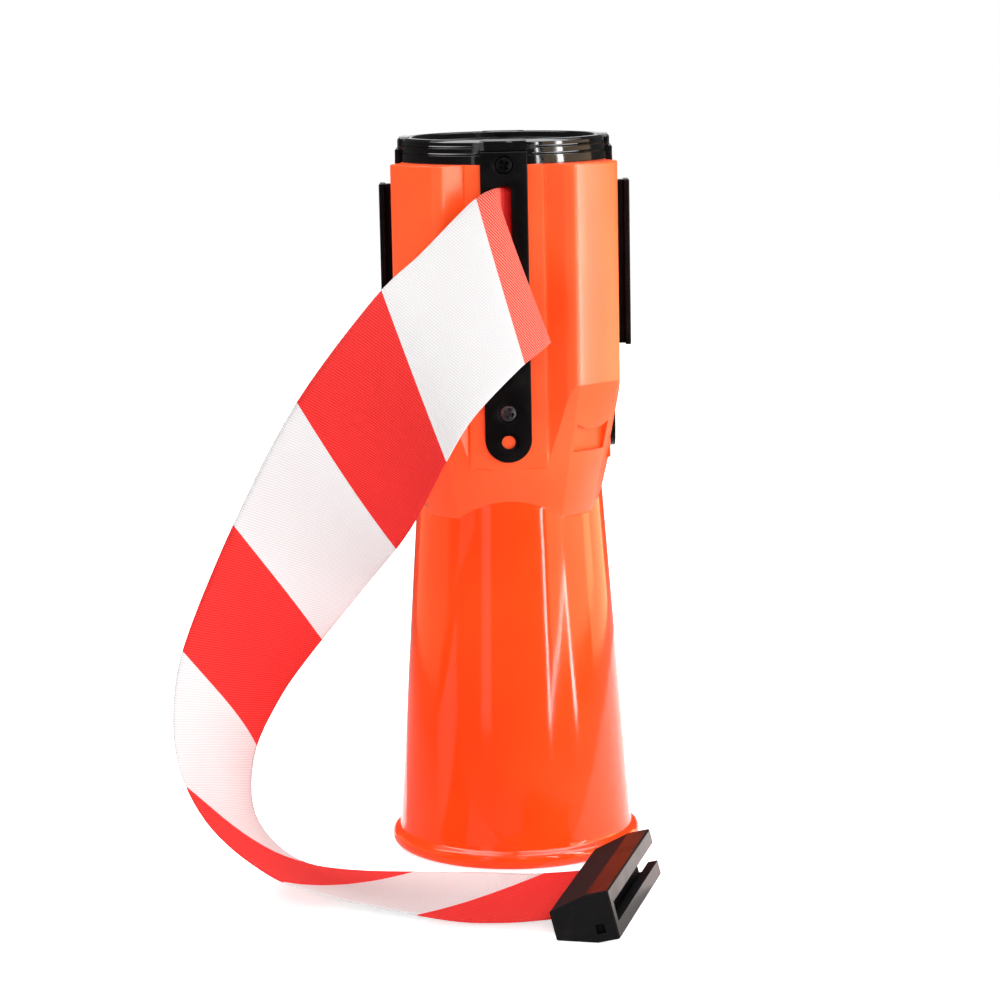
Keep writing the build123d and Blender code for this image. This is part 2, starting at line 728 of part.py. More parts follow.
def make_rod():
    return clip_plane() * rod_place() * Cylinder(rod_radius, rod_length, align=low_end)


def make_belt_loop():
    # The sewn end of the belt: a sleeve round the rod and its flat neck out to the clip's edge
    inner = rod_radius + loop_gap
    root = inner + belt_thick / 2
    half = belt_thick / 2
    sleeve = Circle(inner + belt_thick) - Circle(inner)
    neck = Polygon((-rod_depth, -half), (-root, -half), (-root, half), (-rod_depth, half), align=None)
    return clip_plane() * Pos(rod_depth, 0, clip_margin) * extrude(sleeve + neck, belt_width)


def belt_stations():
    # Pairs of upper and lower points; another width or height moves them about the belt's middle line.
    spread = belt_width / drawn_width
    rise = (belt_foot + belt_width / 2) / drawn_middle
    stations = [(Vector(slot_side, -slot_point, belt_top), Vector(slot_side, -slot_point, belt_foot))]
    for upper, lower in belt_edges:
        middle = (Vector(*upper) + Vector(*lower)) / 2
        half = (Vector(*upper) - Vector(*lower)) * (spread / 2)
        middle = Vector(middle.X, middle.Y - slot_point, middle.Z * rise)
        stations.append((middle + half, middle - half))
    plane = clip_plane()
    near = plane.from_local_coords(Vector(0, 0, clip_margin))
    far = plane.from_local_coords(Vector(0, 0, clip_margin + belt_width))
    return stations + [(near, far)]


def smooth_line(points):
    # A curve through all the points: each stretch leaves along the line between its neighbours
    line = []
    for i in range(len(points) - 1):
        a = points[max(i - 1, 0)]
        b = points[i]
        c = points[i + 1]
        d = points[min(i + 2, len(points) - 1)]
        for k in range(belt_steps):
            t = k / belt_steps
            line.append(b + (c - a) * (t / 2) + (a * 2 - b * 5 + c * 4 - d) * (t * t / 2)
                        + (b * 3 - a - c * 3 + d) * (t ** 3 / 2))
    return line + [points[-1]]


def directions(line):
    # At its two ends the belt goes on in line with the run in the slot and with the neck in the clip.
    start, end = run_ends()
    inside = [after - before for before, after in zip(line, line[2:])]
    return [end - start] + inside + [clip_plane().x_dir]


def make_free_belt():
    # Each section is set off to both sides, square to the belt at its upper and at its lower edge.
    upper = smooth_line([station[0] for station in belt_stations()])
    lower = smooth_line([station[1] for station in belt_stations()])
    half = belt_thick / 2
    sections = []
    for a, b, go_a, go_b in zip(upper, lower, directions(upper), directions(lower)):
        off_a = go_a.cross(b - a).normalized() * half
        off_b = go_b.cross(b - a).normalized() * half
        sections.append([a + off_a, b + off_b, b - off_b, a - off_a])
    faces = [Face(Wire.make_polygon(sections[0])), Face(Wire.make_polygon(sections[-1]))]
    for here, there in zip(sections, sections[1:]):
        for i in range(4):
            k = (i + 1) % 4
            faces.append(Face.make_surface_from_curves(Edge.make_line(here[i], here[k]), Edge.make_line(there[i], there[k])))
    belt = Solid(Shell(faces))
    middle = [(a + b) / 2 for a, b in zip(upper, lower)]
    length = sum((b - a).length for a, b in zip(middle, middle[1:]))
    least = min(point.Z for section in sections for point in section)
    print(f"free belt: middle line {length:.1f} mm, least height {least:.2f} mm, "
          f"volume {belt.volume:.0f} mm3 for {length * belt_width * belt_thick:.0f} mm3 laid flat")
    return belt


pieces = {
    "housing": make_housing,
    "top_cap": make_cap,
    "outlet_plate": make_outlet_plate,
    "receiver_plate_right": lambda: on_side(make_receiver_plate(), "right"),
    "receiver_plate_back": lambda: on_side(make_receiver_plate(), "back"),
    "receiver_plate_left": lambda: on_side(make_receiver_plate(), "left"),
    "cap_screws": lambda: screw_group(top_screw_z),
    "plate_screws": lambda: screw_group(low_screw_z),
    "cassette_base": make_cassette_base,
    "cassette_top": make_cassette_top,
    "cassette_posts": make_posts,
    "cassette_screws": make_post_screws,
    "reel_shaft": make_shaft,
    "shaft_clip": make_shaft_ring,
    "thrust_washer": make_washer,
    "reel_hub": make_hub,
    "reel_flange": make_upper_flange,
    "reel_bushes": make_bushes,
    "power_spring": make_spring,
    "spring_cover": make_spring_cover,
    "belt_end_bar": make_end_bar,
    "belt_roll": make_roll,
    "belt_inner_run": make_inner_run,
    "belt_free": make_free_belt,
    "belt_loop": make_belt_loop,
    "clip_rod": make_rod,
    "clip_body": make_clip,
}

os.makedirs("parts", exist_ok=True)
for name, make in pieces.items():
    export_step(make(), f"parts/{name}.step")
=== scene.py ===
import bmesh
import bpy
from math import acos, atan2, cos, hypot, pi, radians, sin, sqrt
from mathutils import Matrix, Vector


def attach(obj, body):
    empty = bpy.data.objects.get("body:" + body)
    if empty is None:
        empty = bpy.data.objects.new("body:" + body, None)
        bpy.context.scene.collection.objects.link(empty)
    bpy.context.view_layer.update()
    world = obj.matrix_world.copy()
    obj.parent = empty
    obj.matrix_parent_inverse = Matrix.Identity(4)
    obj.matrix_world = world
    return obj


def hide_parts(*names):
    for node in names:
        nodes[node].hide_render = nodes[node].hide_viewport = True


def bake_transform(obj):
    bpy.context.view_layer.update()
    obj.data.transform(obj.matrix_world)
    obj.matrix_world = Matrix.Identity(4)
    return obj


# Cone topper belt barrier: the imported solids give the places, this script gives the looks.
# Sizes in the dictionaries are in millimetres and become metres where a mesh is made.
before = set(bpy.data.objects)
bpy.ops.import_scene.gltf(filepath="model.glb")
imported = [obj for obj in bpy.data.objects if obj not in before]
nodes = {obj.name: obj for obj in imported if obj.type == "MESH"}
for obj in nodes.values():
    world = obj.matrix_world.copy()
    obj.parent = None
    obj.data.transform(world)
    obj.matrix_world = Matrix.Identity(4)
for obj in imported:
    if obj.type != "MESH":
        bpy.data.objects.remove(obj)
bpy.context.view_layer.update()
scene = bpy.context.scene
mm = 0.001
perMetre = 1000
weld = 1e-6  # points nearer than this, in metres, are one
sideTurns = {"front": 0, "right": 90, "back": 180, "left": 270}
print("frame loaded:", len(nodes), "nodes")


# Camera, fitted to the photograph
cameraSet = dict(place=(0.0, -1.4295, 0.41345), pitch=80.345, yaw=0.195, roll=-1.117,
                 lens=106.578, sensor=36)

cameraData = bpy.data.cameras.new("photoCamera")
cameraData.sensor_width = cameraSet["sensor"]
cameraData.lens = cameraSet["lens"]
camera = bpy.data.objects.new("photoCamera", cameraData)
scene.collection.objects.link(camera)
aim = Matrix.Rotation(radians(cameraSet["yaw"]), 4, "Z")
aim = aim @ Matrix.Rotation(radians(cameraSet["pitch"]), 4, "X")
aim = aim @ Matrix.Rotation(radians(cameraSet["roll"]), 4, "Z")
camera.matrix_world = Matrix.Translation(cameraSet["place"]) @ aim
scene.camera = camera
print("camera set")


# Small helpers for nodes and colours
def hexColour(text):
    parts = [int(text[i:i + 2], 16) / 255 for i in (1, 3, 5)]
    return tuple(c / 12.92 if c <= 0.04045 else ((c + 0.055) / 1.055) ** 2.4 for c in parts) + (1.0,)


def addNode(tree, kind, inputs, **settings):
    node = tree.nodes.new(kind)
    for name, value in settings.items():
        setattr(node, name, value)
    for socket, value in inputs.items():
        if isinstance(value, bpy.types.NodeSocket):
            tree.links.new(value, node.inputs[socket])
        else:
            node.inputs[socket].default_value = value
    return node


def newMaterial(name, **sockets):
    material = bpy.data.materials.new(name)
    material.use_nodes = True
    tree = material.node_tree
    shader = tree.nodes["Principled BSDF"]
    for socket, value in sockets.items():
        shader.inputs[socket.replace("_", " ")].default_value = value
    return material, tree, shader


# Moulded polyethylene, orange, with a painted glow that keeps its red bright in the shade, and a soft sheen
# on the upper body and a polished skirt that shows its surroundings. Wall thickness changes the tone slowly.
orange = dict(glow="#FF2800", glowLevel=0.1, ior=1.5, toneSize=60, toneStops=(0.3, 0.5, 0.72),
              peelSize=1.4, peelDepth=0.2, waveSize=34, waveDepth=2.0)
satinTones = ("#FF501A", "#FF5820", "#FF6026")
glossTones = ("#FF4210", "#FF4814", "#FF4E18")


def orangePlastic(name, tones, roughLow, roughHigh, gloss, peel, wave):
    o = orange
    # The emission is a painted glow: the plastic glows evenly, though it is no lamp
    material, tree, shader = newMaterial(name, IOR=o["ior"], Specular_IOR_Level=gloss,
                                         Emission_Strength=o["glowLevel"],
                                         Emission_Color=hexColour(o["glow"]))
    place = addNode(tree, "ShaderNodeTexCoord", {}).outputs["Object"]
    tone = addNode(tree, "ShaderNodeTexNoise", {
        "Vector": place, "Scale": perMetre / o["toneSize"], "Detail": 2.0})
    ramp = addNode(tree, "ShaderNodeValToRGB", {"Fac": tone.outputs["Fac"]})
    first, last = ramp.color_ramp.elements
    first.position = o["toneStops"][0]
    first.color = hexColour(tones[0])
    last.position = o["toneStops"][2]
    last.color = hexColour(tones[2])
    middle = ramp.color_ramp.elements.new(o["toneStops"][1])
    middle.color = hexColour(tones[1])
    tree.links.new(ramp.outputs["Color"], shader.inputs["Base Color"])
    rough = addNode(tree, "ShaderNodeMapRange", {
        "Value": tone.outputs["Fac"], "To Min": roughLow, "To Max": roughHigh})
    tree.links.new(rough.outputs["Result"], shader.inputs["Roughness"])
    fine = addNode(tree, "ShaderNodeTexNoise", {
        "Vector": place, "Scale": perMetre / o["peelSize"], "Detail": 3.0})
    long = addNode(tree, "ShaderNodeTexNoise", {
        "Vector": place, "Scale": perMetre / o["waveSize"], "Detail": 1.0})
    waves = addNode(tree, "ShaderNodeBump", {
        "Height": long.outputs["Fac"], "Strength": wave, "Distance": o["waveDepth"] * mm})
    skin = addNode(tree, "ShaderNodeBump", {
        "Height": fine.outputs["Fac"], "Strength": peel, "Distance": o["peelDepth"] * mm,
        "Normal": waves.outputs["Normal"]})
    tree.links.new(skin.outputs["Normal"], shader.inputs["Normal"])
    return material


orangeSatin = orangePlastic("mouldedPolyethyleneOrangeSatin", satinTones, 0.26, 0.34, 0.45, 0.12, 0.04)
orangeGloss = orangePlastic("mouldedPolyethyleneOrangeGloss", glossTones, 0.07, 0.11, 0.32, 0.03, 0.05)


# Other moulded plastics. The black ABS is polished on the cap, satin on its dish and on the plates, grained
# on the clip and smooth at the clip's mouth. Handling leaves faint rubs in the roughness and the colour.
moulding = dict(ior=1.53, rubSize=14, rubFrom=0.48, rubFull=0.72, rubBreak=0.62, grainDepth=0.2)


def mouldedPlastic(name, colour, rubColour, rough, rubRough, grainSize, grain, gloss=0.5):
    m = moulding
    material, tree, shader = newMaterial(name, IOR=m["ior"], Specular_IOR_Level=gloss)
    place = addNode(tree, "ShaderNodeTexCoord", {}).outputs["Object"]
    rub = addNode(tree, "ShaderNodeTexNoise", {
        "Vector": place, "Scale": perMetre / m["rubSize"], "Detail": 5.0, "Roughness": m["rubBreak"]})
    wearAndPaintedSheen = addNode(tree, "ShaderNodeMapRange", {
        "Value": rub.outputs["Fac"], "From Min": m["rubFrom"], "From Max": m["rubFull"]})
    tone = addNode(tree, "ShaderNodeMix", {
        "Factor": wearAndPaintedSheen.outputs["Result"], 6: hexColour(colour), 7: hexColour(rubColour)}, data_type="RGBA")
    tree.links.new(tone.outputs[2], shader.inputs["Base Color"])
    dull = addNode(tree, "ShaderNodeMapRange", {
        "Value": wearAndPaintedSheen.outputs["Result"], "To Min": rough, "To Max": rubRough})
    tree.links.new(dull.outputs["Result"], shader.inputs["Roughness"])
    grit = addNode(tree, "ShaderNodeTexNoise", {
        "Vector": place, "Scale": perMetre / grainSize, "Detail": 2.0})
    bump = addNode(tree, "ShaderNodeBump", {
        "Height": grit.outputs["Fac"], "Strength": grain, "Distance": m["grainDepth"] * mm})
    tree.links.new(bump.outputs["Normal"], shader.inputs["Normal"])
    return material


blackGloss = mouldedPlastic("mouldedAbsBlackPolished", "#0A090A", "#121112", 0.07, 0.16, 2.0, 0.04, 0.45)
blackSatin = mouldedPlastic("mouldedAbsBlackSatin", "#090809", "#110F10", 0.3, 0.42, 0.9, 0.1, 0.09)
blackGrain = mouldedPlastic("mouldedAbsBlackGrained", "#1A191A", "#232223", 0.66, 0.74, 0.6, 0.35, 0.02)
blackLip = mouldedPlastic("mouldedAbsBlackLip", "#0D0C0D", "#161516", 0.32, 0.42, 0.6, 0.1, 0.06)
blackMouth = mouldedPlastic("mouldedAbsBlackMouth", "#141314", "#1C1B1C", 0.28, 0.38, 0.6, 0.14, 0.28)
greyPlastic = mouldedPlastic("mouldedNylonDarkGrey", "#5A5B5E", "#6A6B6E", 0.45, 0.55, 0.8, 0.15)
whiteAcetal = mouldedPlastic("mouldedAcetalNatural", "#E6E5DF", "#D8D7CF", 0.34, 0.42, 1.2, 0.06)


# Steels and bronze: turned and plated, so a fine lay runs round the pieces and the plating is a bit cloudy.
# A wave texture of scale 1 repeats every 314 mm.
plating = dict(cloudSize=3.0, wavePeriod=314, layWander=2.0, layLevel=0.08, layDepth=0.1)


def metal(name, colour, cloud, rough, cloudRough, laySize):
    p = plating
    material, tree, shader = newMaterial(name, Metallic=1.0)
    place = addNode(tree, "ShaderNodeTexCoord", {}).outputs["Object"]
    patch = addNode(tree, "ShaderNodeTexNoise", {
        "Vector": place, "Scale": perMetre / p["cloudSize"], "Detail": 4.0})
    tone = addNode(tree, "ShaderNodeMix", {
        "Factor": patch.outputs["Fac"], 6: hexColour(colour), 7: hexColour(cloud)}, data_type="RGBA")
    tree.links.new(tone.outputs[2], shader.inputs["Base Color"])
    dull = addNode(tree, "ShaderNodeMapRange", {
        "Value": patch.outputs["Fac"], "To Min": rough, "To Max": cloudRough})
    tree.links.new(dull.outputs["Result"], shader.inputs["Roughness"])
    lay = addNode(tree, "ShaderNodeTexWave", {
        "Vector": place, "Scale": p["wavePeriod"] / laySize, "Distortion": p["layWander"]},
        bands_direction="Z")
    bump = addNode(tree, "ShaderNodeBump", {
        "Height": lay.outputs["Fac"], "Strength": p["layLevel"], "Distance": p["layDepth"] * mm})
    tree.links.new(bump.outputs["Normal"], shader.inputs["Normal"])
    return material


zincSteel = metal("zincPlatedSteel", "#7A7A7C", "#5C5C60", 0.26, 0.4, 0.5)
blackSteel = metal("blackOxideSteel", "#2A2A2B", "#1B1B1C", 0.3, 0.42, 0.5)
springSteel = metal("temperedSpringSteel", "#6A6C74", "#4C4E58", 0.28, 0.38, 0.8)
bronze = metal("sinteredBronze", "#A98450", "#8C6A3C", 0.4, 0.55, 0.9)


# Ribbed polyester webbing: ribs run across the belt 1.2 mm apart with warp ends over them, and the red
# stripes are printed, so they lie on the same weave. The UV map holds metres along and across the belt.
# The stripe by the slot has a painted sheen: its raised threads are painted paler
webbing = dict(red="#D4141F", redWarm="#F2423A", white="#ECE9E9", whiteShade="#D2CED0", wearAndPaintedSheen="#F6AC92",
               paintedSheenFrom=1.0, paintedSheenFull=4.0, paintedSheenTo=65.0, paintedSheenEnd=78.0, paintedSheenLevel=0.75,
               raisedFrom=0.4, raisedFull=0.8, stripe=64.2, lean=45.0, width=75.0, firstEdge=16.0,
               rib=1.2, warp=0.9, warpLevel=1.1, weaveReach=1.4, relief=0.35, reliefDepth=0.2)


def webbingMaterial():
    w = webbing
    material, tree, shader = newMaterial("ribbedPolyesterWebbingStriped", Roughness=0.66, IOR=1.46,
                                         Specular_IOR_Level=0.1)
    uv = addNode(tree, "ShaderNodeUVMap", {}, uv_map="UVMap")
    split = addNode(tree, "ShaderNodeSeparateXYZ", {"Vector": uv.outputs["UV"]})
    along = split.outputs["X"]
    across = split.outputs["Y"]
    shift = addNode(tree, "ShaderNodeMath", {
        0: across, 1: -w["lean"] / w["width"], 2: along}, operation="MULTIPLY_ADD")
    count = addNode(tree, "ShaderNodeMath", {
        0: shift.outputs[0], 1: perMetre / w["stripe"], 2: -w["firstEdge"] / w["stripe"]},
        operation="MULTIPLY_ADD")
    phase = addNode(tree, "ShaderNodeMath", {0: count.outputs[0], 1: 2.0}, operation="FLOORED_MODULO")
    isRed = addNode(tree, "ShaderNodeMath", {0: phase.outputs[0], 1: 1.0}, operation="GREATER_THAN")
    waves = []
    for way, apart in ((along, w["rib"]), (across, w["warp"])):
        turn = addNode(tree, "ShaderNodeMath", {0: way, 1: 2 * pi * perMetre / apart}, operation="MULTIPLY")
        wave = addNode(tree, "ShaderNodeMath", {0: turn.outputs[0]}, operation="SINE")
        waves.append(wave.outputs[0])
    ribWave, warpWave = waves
    dots = addNode(tree, "ShaderNodeMath", {0: ribWave, 1: warpWave}, operation="MULTIPLY")
    weave = addNode(tree, "ShaderNodeMath", {
        0: dots.outputs[0], 1: w["warpLevel"], 2: ribWave}, operation="MULTIPLY_ADD")
    thread = addNode(tree, "ShaderNodeMapRange", {
        "Value": weave.outputs[0], "From Min": -w["weaveReach"], "From Max": w["weaveReach"]})
    height = thread.outputs["Result"]
    # Painted shade and highlight of the weave: its hollows are painted darker and its raised threads lighter
    white = addNode(tree, "ShaderNodeMix", {
        "Factor": height, 6: hexColour(w["whiteShade"]), 7: hexColour(w["white"])}, data_type="RGBA")
    red = addNode(tree, "ShaderNodeMix", {
        "Factor": height, 6: hexColour(w["red"]), 7: hexColour(w["redWarm"])}, data_type="RGBA")
    # Painted sheen: the stripe by the slot is painted paler on its raised threads, standing in for the light
    # it catches there
    begun = addNode(tree, "ShaderNodeMapRange", {
        "Value": along, "From Min": w["paintedSheenFrom"] * mm, "From Max": w["paintedSheenFull"] * mm})
    paintedSheenFade = addNode(tree, "ShaderNodeMapRange", {
        "Value": along, "From Min": w["paintedSheenEnd"] * mm, "From Max": w["paintedSheenTo"] * mm,
        "To Max": w["paintedSheenLevel"]})
    raised = addNode(tree, "ShaderNodeMapRange", {
        "Value": height, "From Min": w["raisedFrom"], "From Max": w["raisedFull"]})
    reached = addNode(tree, "ShaderNodeMath", {
        0: begun.outputs["Result"], 1: paintedSheenFade.outputs["Result"]}, operation="MULTIPLY")
    sheenOnRaisedThreads = addNode(tree, "ShaderNodeMath", {
        0: reached.outputs[0], 1: raised.outputs["Result"]}, operation="MULTIPLY")
    paler = addNode(tree, "ShaderNodeMix", {
        "Factor": sheenOnRaisedThreads.outputs[0], 6: red.outputs[2], 7: hexColour(w["wearAndPaintedSheen"])}, data_type="RGBA")
    printed = addNode(tree, "ShaderNodeMix", {
        "Factor": isRed.outputs[0], 6: white.outputs[2], 7: paler.outputs[2]}, data_type="RGBA")
    tree.links.new(printed.outputs[2], shader.inputs["Base Color"])
    bump = addNode(tree, "ShaderNodeBump", {
        "Height": weave.outputs[0], "Strength": w["relief"], "Distance": w["reliefDepth"] * mm})
    tree.links.new(bump.outputs["Normal"], shader.inputs["Normal"])
    return material


stripedWebbing = webbingMaterial()
print("materials made")


# Mesh helpers
def placed(name, bm):
    # Makes an object of a finished mesh
    mesh = bpy.data.meshes.new(name)
    bm.to_mesh(mesh)
    bm.free()
    made = bpy.data.objects.new(name, mesh)
    scene.collection.objects.link(made)
    return made


def settle(name, bm, materials, body, slotName, *stands, sharp=40, recalc=True):
    bmesh.ops.remove_doubles(bm, verts=bm.verts, dist=weld)
    if recalc:
        bmesh.ops.recalc_face_normals(bm, faces=bm.faces)
    for face in bm.faces:
        face.smooth = True
    for edge in bm.edges:
        edge.smooth = not (edge.is_manifold and edge.calc_face_angle() > radians(sharp))
    piece = placed(name, bm)
    for material in materials:
        piece.data.materials.append(material)
    if body:
        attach(piece, body)
    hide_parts(*stands)
    return piece


def evenNormals(piece):
    even = piece.modifiers.new("evenNormals", "WEIGHTED_NORMAL")
    even.keep_sharp = True


def cutAway(bm, cutter):
    holders = []
    for part in (bm, cutter):
        bmesh.ops.remove_doubles(part, verts=part.verts, dist=weld)
        bmesh.ops.recalc_face_normals(part, faces=part.faces)
        holders.append(placed("blank", part))
    tool = holders[0].modifiers.new("cut", "BOOLEAN")
    tool.operation = "DIFFERENCE"
    tool.solver = "EXACT"
    tool.object = holders[1]
    done = holders[0].evaluated_get(bpy.context.evaluated_depsgraph_get())
    result = bmesh.new()
    result.from_mesh(done.to_mesh())
    for holder in holders:
        mesh = holder.data
        bpy.data.objects.remove(holder)
        bpy.data.meshes.remove(mesh)
    return result


def softenEdges(bm, edges, offset, segments=2, clamp=False):
    bmesh.ops.bevel(bm, geom=edges, offset=offset * mm, affect="EDGES", segments=segments, profile=0.5,
                    material=-1, clamp_overlap=clamp)


def pulledOut(bm, points, shift):
    # Draws a flat outline out into a closed block, and gives its near and far points
    verts = [bm.verts.new([part * mm for part in point]) for point in points]
    face = bm.faces.new(verts)
    pulled = bmesh.ops.extrude_face_region(bm, geom=[face])["geom"]
    ends = [g for g in pulled if isinstance(g, bmesh.types.BMVert)]
    bmesh.ops.translate(bm, vec=[part * mm for part in shift], verts=ends)
    return verts, ends


def spun(bm, points, place=Matrix.Identity(4), steps=48):
    # Turns a section, given as radius and height, about the place's own Z axis
    verts = [bm.verts.new((r * mm, 0, z * mm)) for r, z in points]
    edges = [bm.edges.new((a, b)) for a, b in zip(verts, verts[1:])]
    bmesh.ops.spin(bm, geom=verts + edges, cent=(0, 0, 0), axis=(0, 0, 1), angle=2 * pi, steps=steps,
                   use_merge=True)
    found = set(verts)
    reach = list(verts)
    while reach:
        for edge in reach.pop().link_edges:
            for vert in edge.verts:
                if vert not in found:
                    found.add(vert)
                    reach.append(vert)
    bmesh.ops.transform(bm, matrix=place, verts=list(found))
    return list(found)


def roundedBlock(bm, low, high, edge, segments=2):
    made = bmesh.ops.create_cube(bm, size=1)["verts"]
    size = [(b - a) * mm for a, b in zip(low, high)]
    middle = [(a + b) / 2 * mm for a, b in zip(low, high)]
    bmesh.ops.scale(bm, vec=size, verts=made)
    bmesh.ops.translate(bm, vec=middle, verts=made)
    softenEdges(bm, list({e for v in made for e in v.link_edges}), edge, segments)


def sideTurn(side):
    return Matrix.Rotation(radians(sideTurns[side]), 3, "Z")


def outward(depth, z):
    # A place whose own Z axis points out of the front, at that distance from the topper's axis
    return Matrix.Translation((0, -depth * mm, z * mm)) @ Matrix.Rotation(pi / 2, 4, "X")


# Housing: one closed skin, from the socket's ceiling round the bead, up the skirt, over the deck and down
# the cavity
housing = dict(
    padHalf=18.4, padFace=49.0, padDraft=0.6, padStep=1.35, padParts=7, padEdgeSlack=0.2, padFaceSlack=0.35,
    shoulderX=27.5, shoulderRise=3.5, crownBulge=0.67, cornerRadius=62.8, creaseAngle=32.5, soften=0.8,
    top=336.5, wall=3.4, deckOpening=43.7, deckShare=0.4, floorTop=217.0, cavityLevels=(290, 250, 235, 226),
    padFoot=193.3, taperFoot=168.0, taperTop=230.0,
    footHalf=42.9, footCorner=45.6, topHalf=57.5, topCorner=62.0,
    scallopLow=160, scallopHigh=200, scallopUnder=0.7, scallopOver=0.6,
    meetHigh=260, meetSoft=0.4, meetDip=0.05,
    skirtFoot=57.8, skirtSlope=0.0722, skirtLevels=(10.4, 12.5, 20, 35, 55, 75, 95, 115, 130, 142, 152),
    beadRadius=4.2, beadMiddle=57.1, beadNeck=8.9, neckSwell=0.35, rimFlat=0.8,
    socketFoot=55.1, socketTop=206.0,
    pocketFoot=200.0, pocketTall=13.8, pocketDip=3.2, pocketWidth=21.0, pocketBack=51.2, pocketLean=2.2,
    pocketReach=20, pocketParts=12,
    windowHalf=6.2, windowFoot=243.6, windowTop=330.1, windowFront=60, windowBack=38, windowRound=1.5)
# How far the top edge is drawn in, and how far below the top that is
topEdge = ((0.0, 6.0), (0.0, 1.1), (0.1, 0.5), (0.35, 0.12), (0.8, 0.0))


def softened(points, corners, reach):
    # Swaps each sharp corner for three points on a small curve
    line = []
    for i, point in enumerate(points):
        if i not in corners:
            line.append(point)
            continue
        before = (points[i - 1] - point).normalized() * reach
        after = (points[i + 1] - point).normalized() * reach
        line += [point + before, point + (before + after) * 0.25, point + after]
    return line


def halfOutline():
    # From a side's middle to a corner's middle, seen from above: pad, valley, crowned flank, corner
    h = housing
    parts = h["padParts"]
    points = [Vector((h["padHalf"] * i / parts, h["padFace"])) for i in range(parts + 1)]
    corners = {parts, len(points)}
    foot = Vector((h["padHalf"] + h["padDraft"], h["padFace"] - h["padStep"]))
    points.append(foot)
    shoulder = Vector((h["shoulderX"], h["padFace"] + h["shoulderRise"]))
    points += [foot.lerp(shoulder, t) for t in (0.25, 0.5, 0.75)]
    corners.add(len(points))
    points.append(shoulder)
    angle = radians(h["creaseAngle"])
    crease = Vector((sin(angle), cos(angle))) * h["cornerRadius"]
    across = (crease - shoulder).normalized()
    normal = Vector((-across.y, across.x))
    for t in (0.25, 0.5, 0.75):
        points.append(shoulder.lerp(crease, t) + normal * h["crownBulge"] * 4 * t * (1 - t))
    corners.add(len(points))
    points.append(crease)
    for t in (0.2, 0.4, 0.6, 0.8, 1.0):
        turn = angle + (pi / 4 - angle) * t
        points.append(Vector((sin(turn), cos(turn))) * h["cornerRadius"])
    return softened(points, corners, h["soften"])


def taperRadius(angle, z):
    # Between the creases each corner is part of a cone, and the sides bow out from crease to crease
    h = housing
    t = (z - h["taperFoot"]) / (h["taperTop"] - h["taperFoot"])
    half = h["footHalf"] + (h["topHalf"] - h["footHalf"]) * t
    corner = h["footCorner"] + (h["topCorner"] - h["footCorner"]) * t
    crease = radians(h["creaseAngle"])
    if angle >= crease:
        return corner
    bow = (half - corner * cos(crease)) * (sin(angle) / (corner * sin(crease))) ** 2
    return 2 * half / (cos(angle) + sqrt(cos(angle) ** 2 + 4 * bow * half))


def skirtRadius(z):
    return housing["skirtFoot"] - housing["skirtSlope"] * z


def heightWhere(test, low, high, halvings=40):
    # The height at which the test begins to hold, found by halving the range
    for _ in range(halvings):
        middle = (low + high) / 2
        if test(middle):
            high = middle
        else:
            low = middle
    return (low + high) / 2


def column(turn, point):
    # One upright line of the skin: where it stands, and the heights where the taper begins and ends on it
    h = housing
    angle = atan2(point.x, point.y)
    radius = point.length
    onPad = point.y > h["padFace"] - h["padFaceSlack"] and point.x < h["padHalf"] + h["padEdgeSlack"]
    low, high = h["scallopLow"], h["scallopHigh"]
    scallop = heightWhere(lambda z: taperRadius(angle, z) > skirtRadius(z), low, high)
    meet = h["padFoot"]
    if not onPad:
        meet = max(meet, heightWhere(lambda z: taperRadius(angle, z) > radius, scallop, h["meetHigh"]))
    return dict(turn=turn, angle=angle, radius=radius, scallop=scallop, meet=meet)


def columnsRound():
    half = halfOutline()
    columns = []
    for quarter in range(4):
        base = quarter * pi / 2
        for point in half[:0:-1]:
            columns.append(column(base - atan2(point.x, point.y), point))
        for point in half[:-1]:
            columns.append(column(base + atan2(point.x, point.y), point))
    return columns


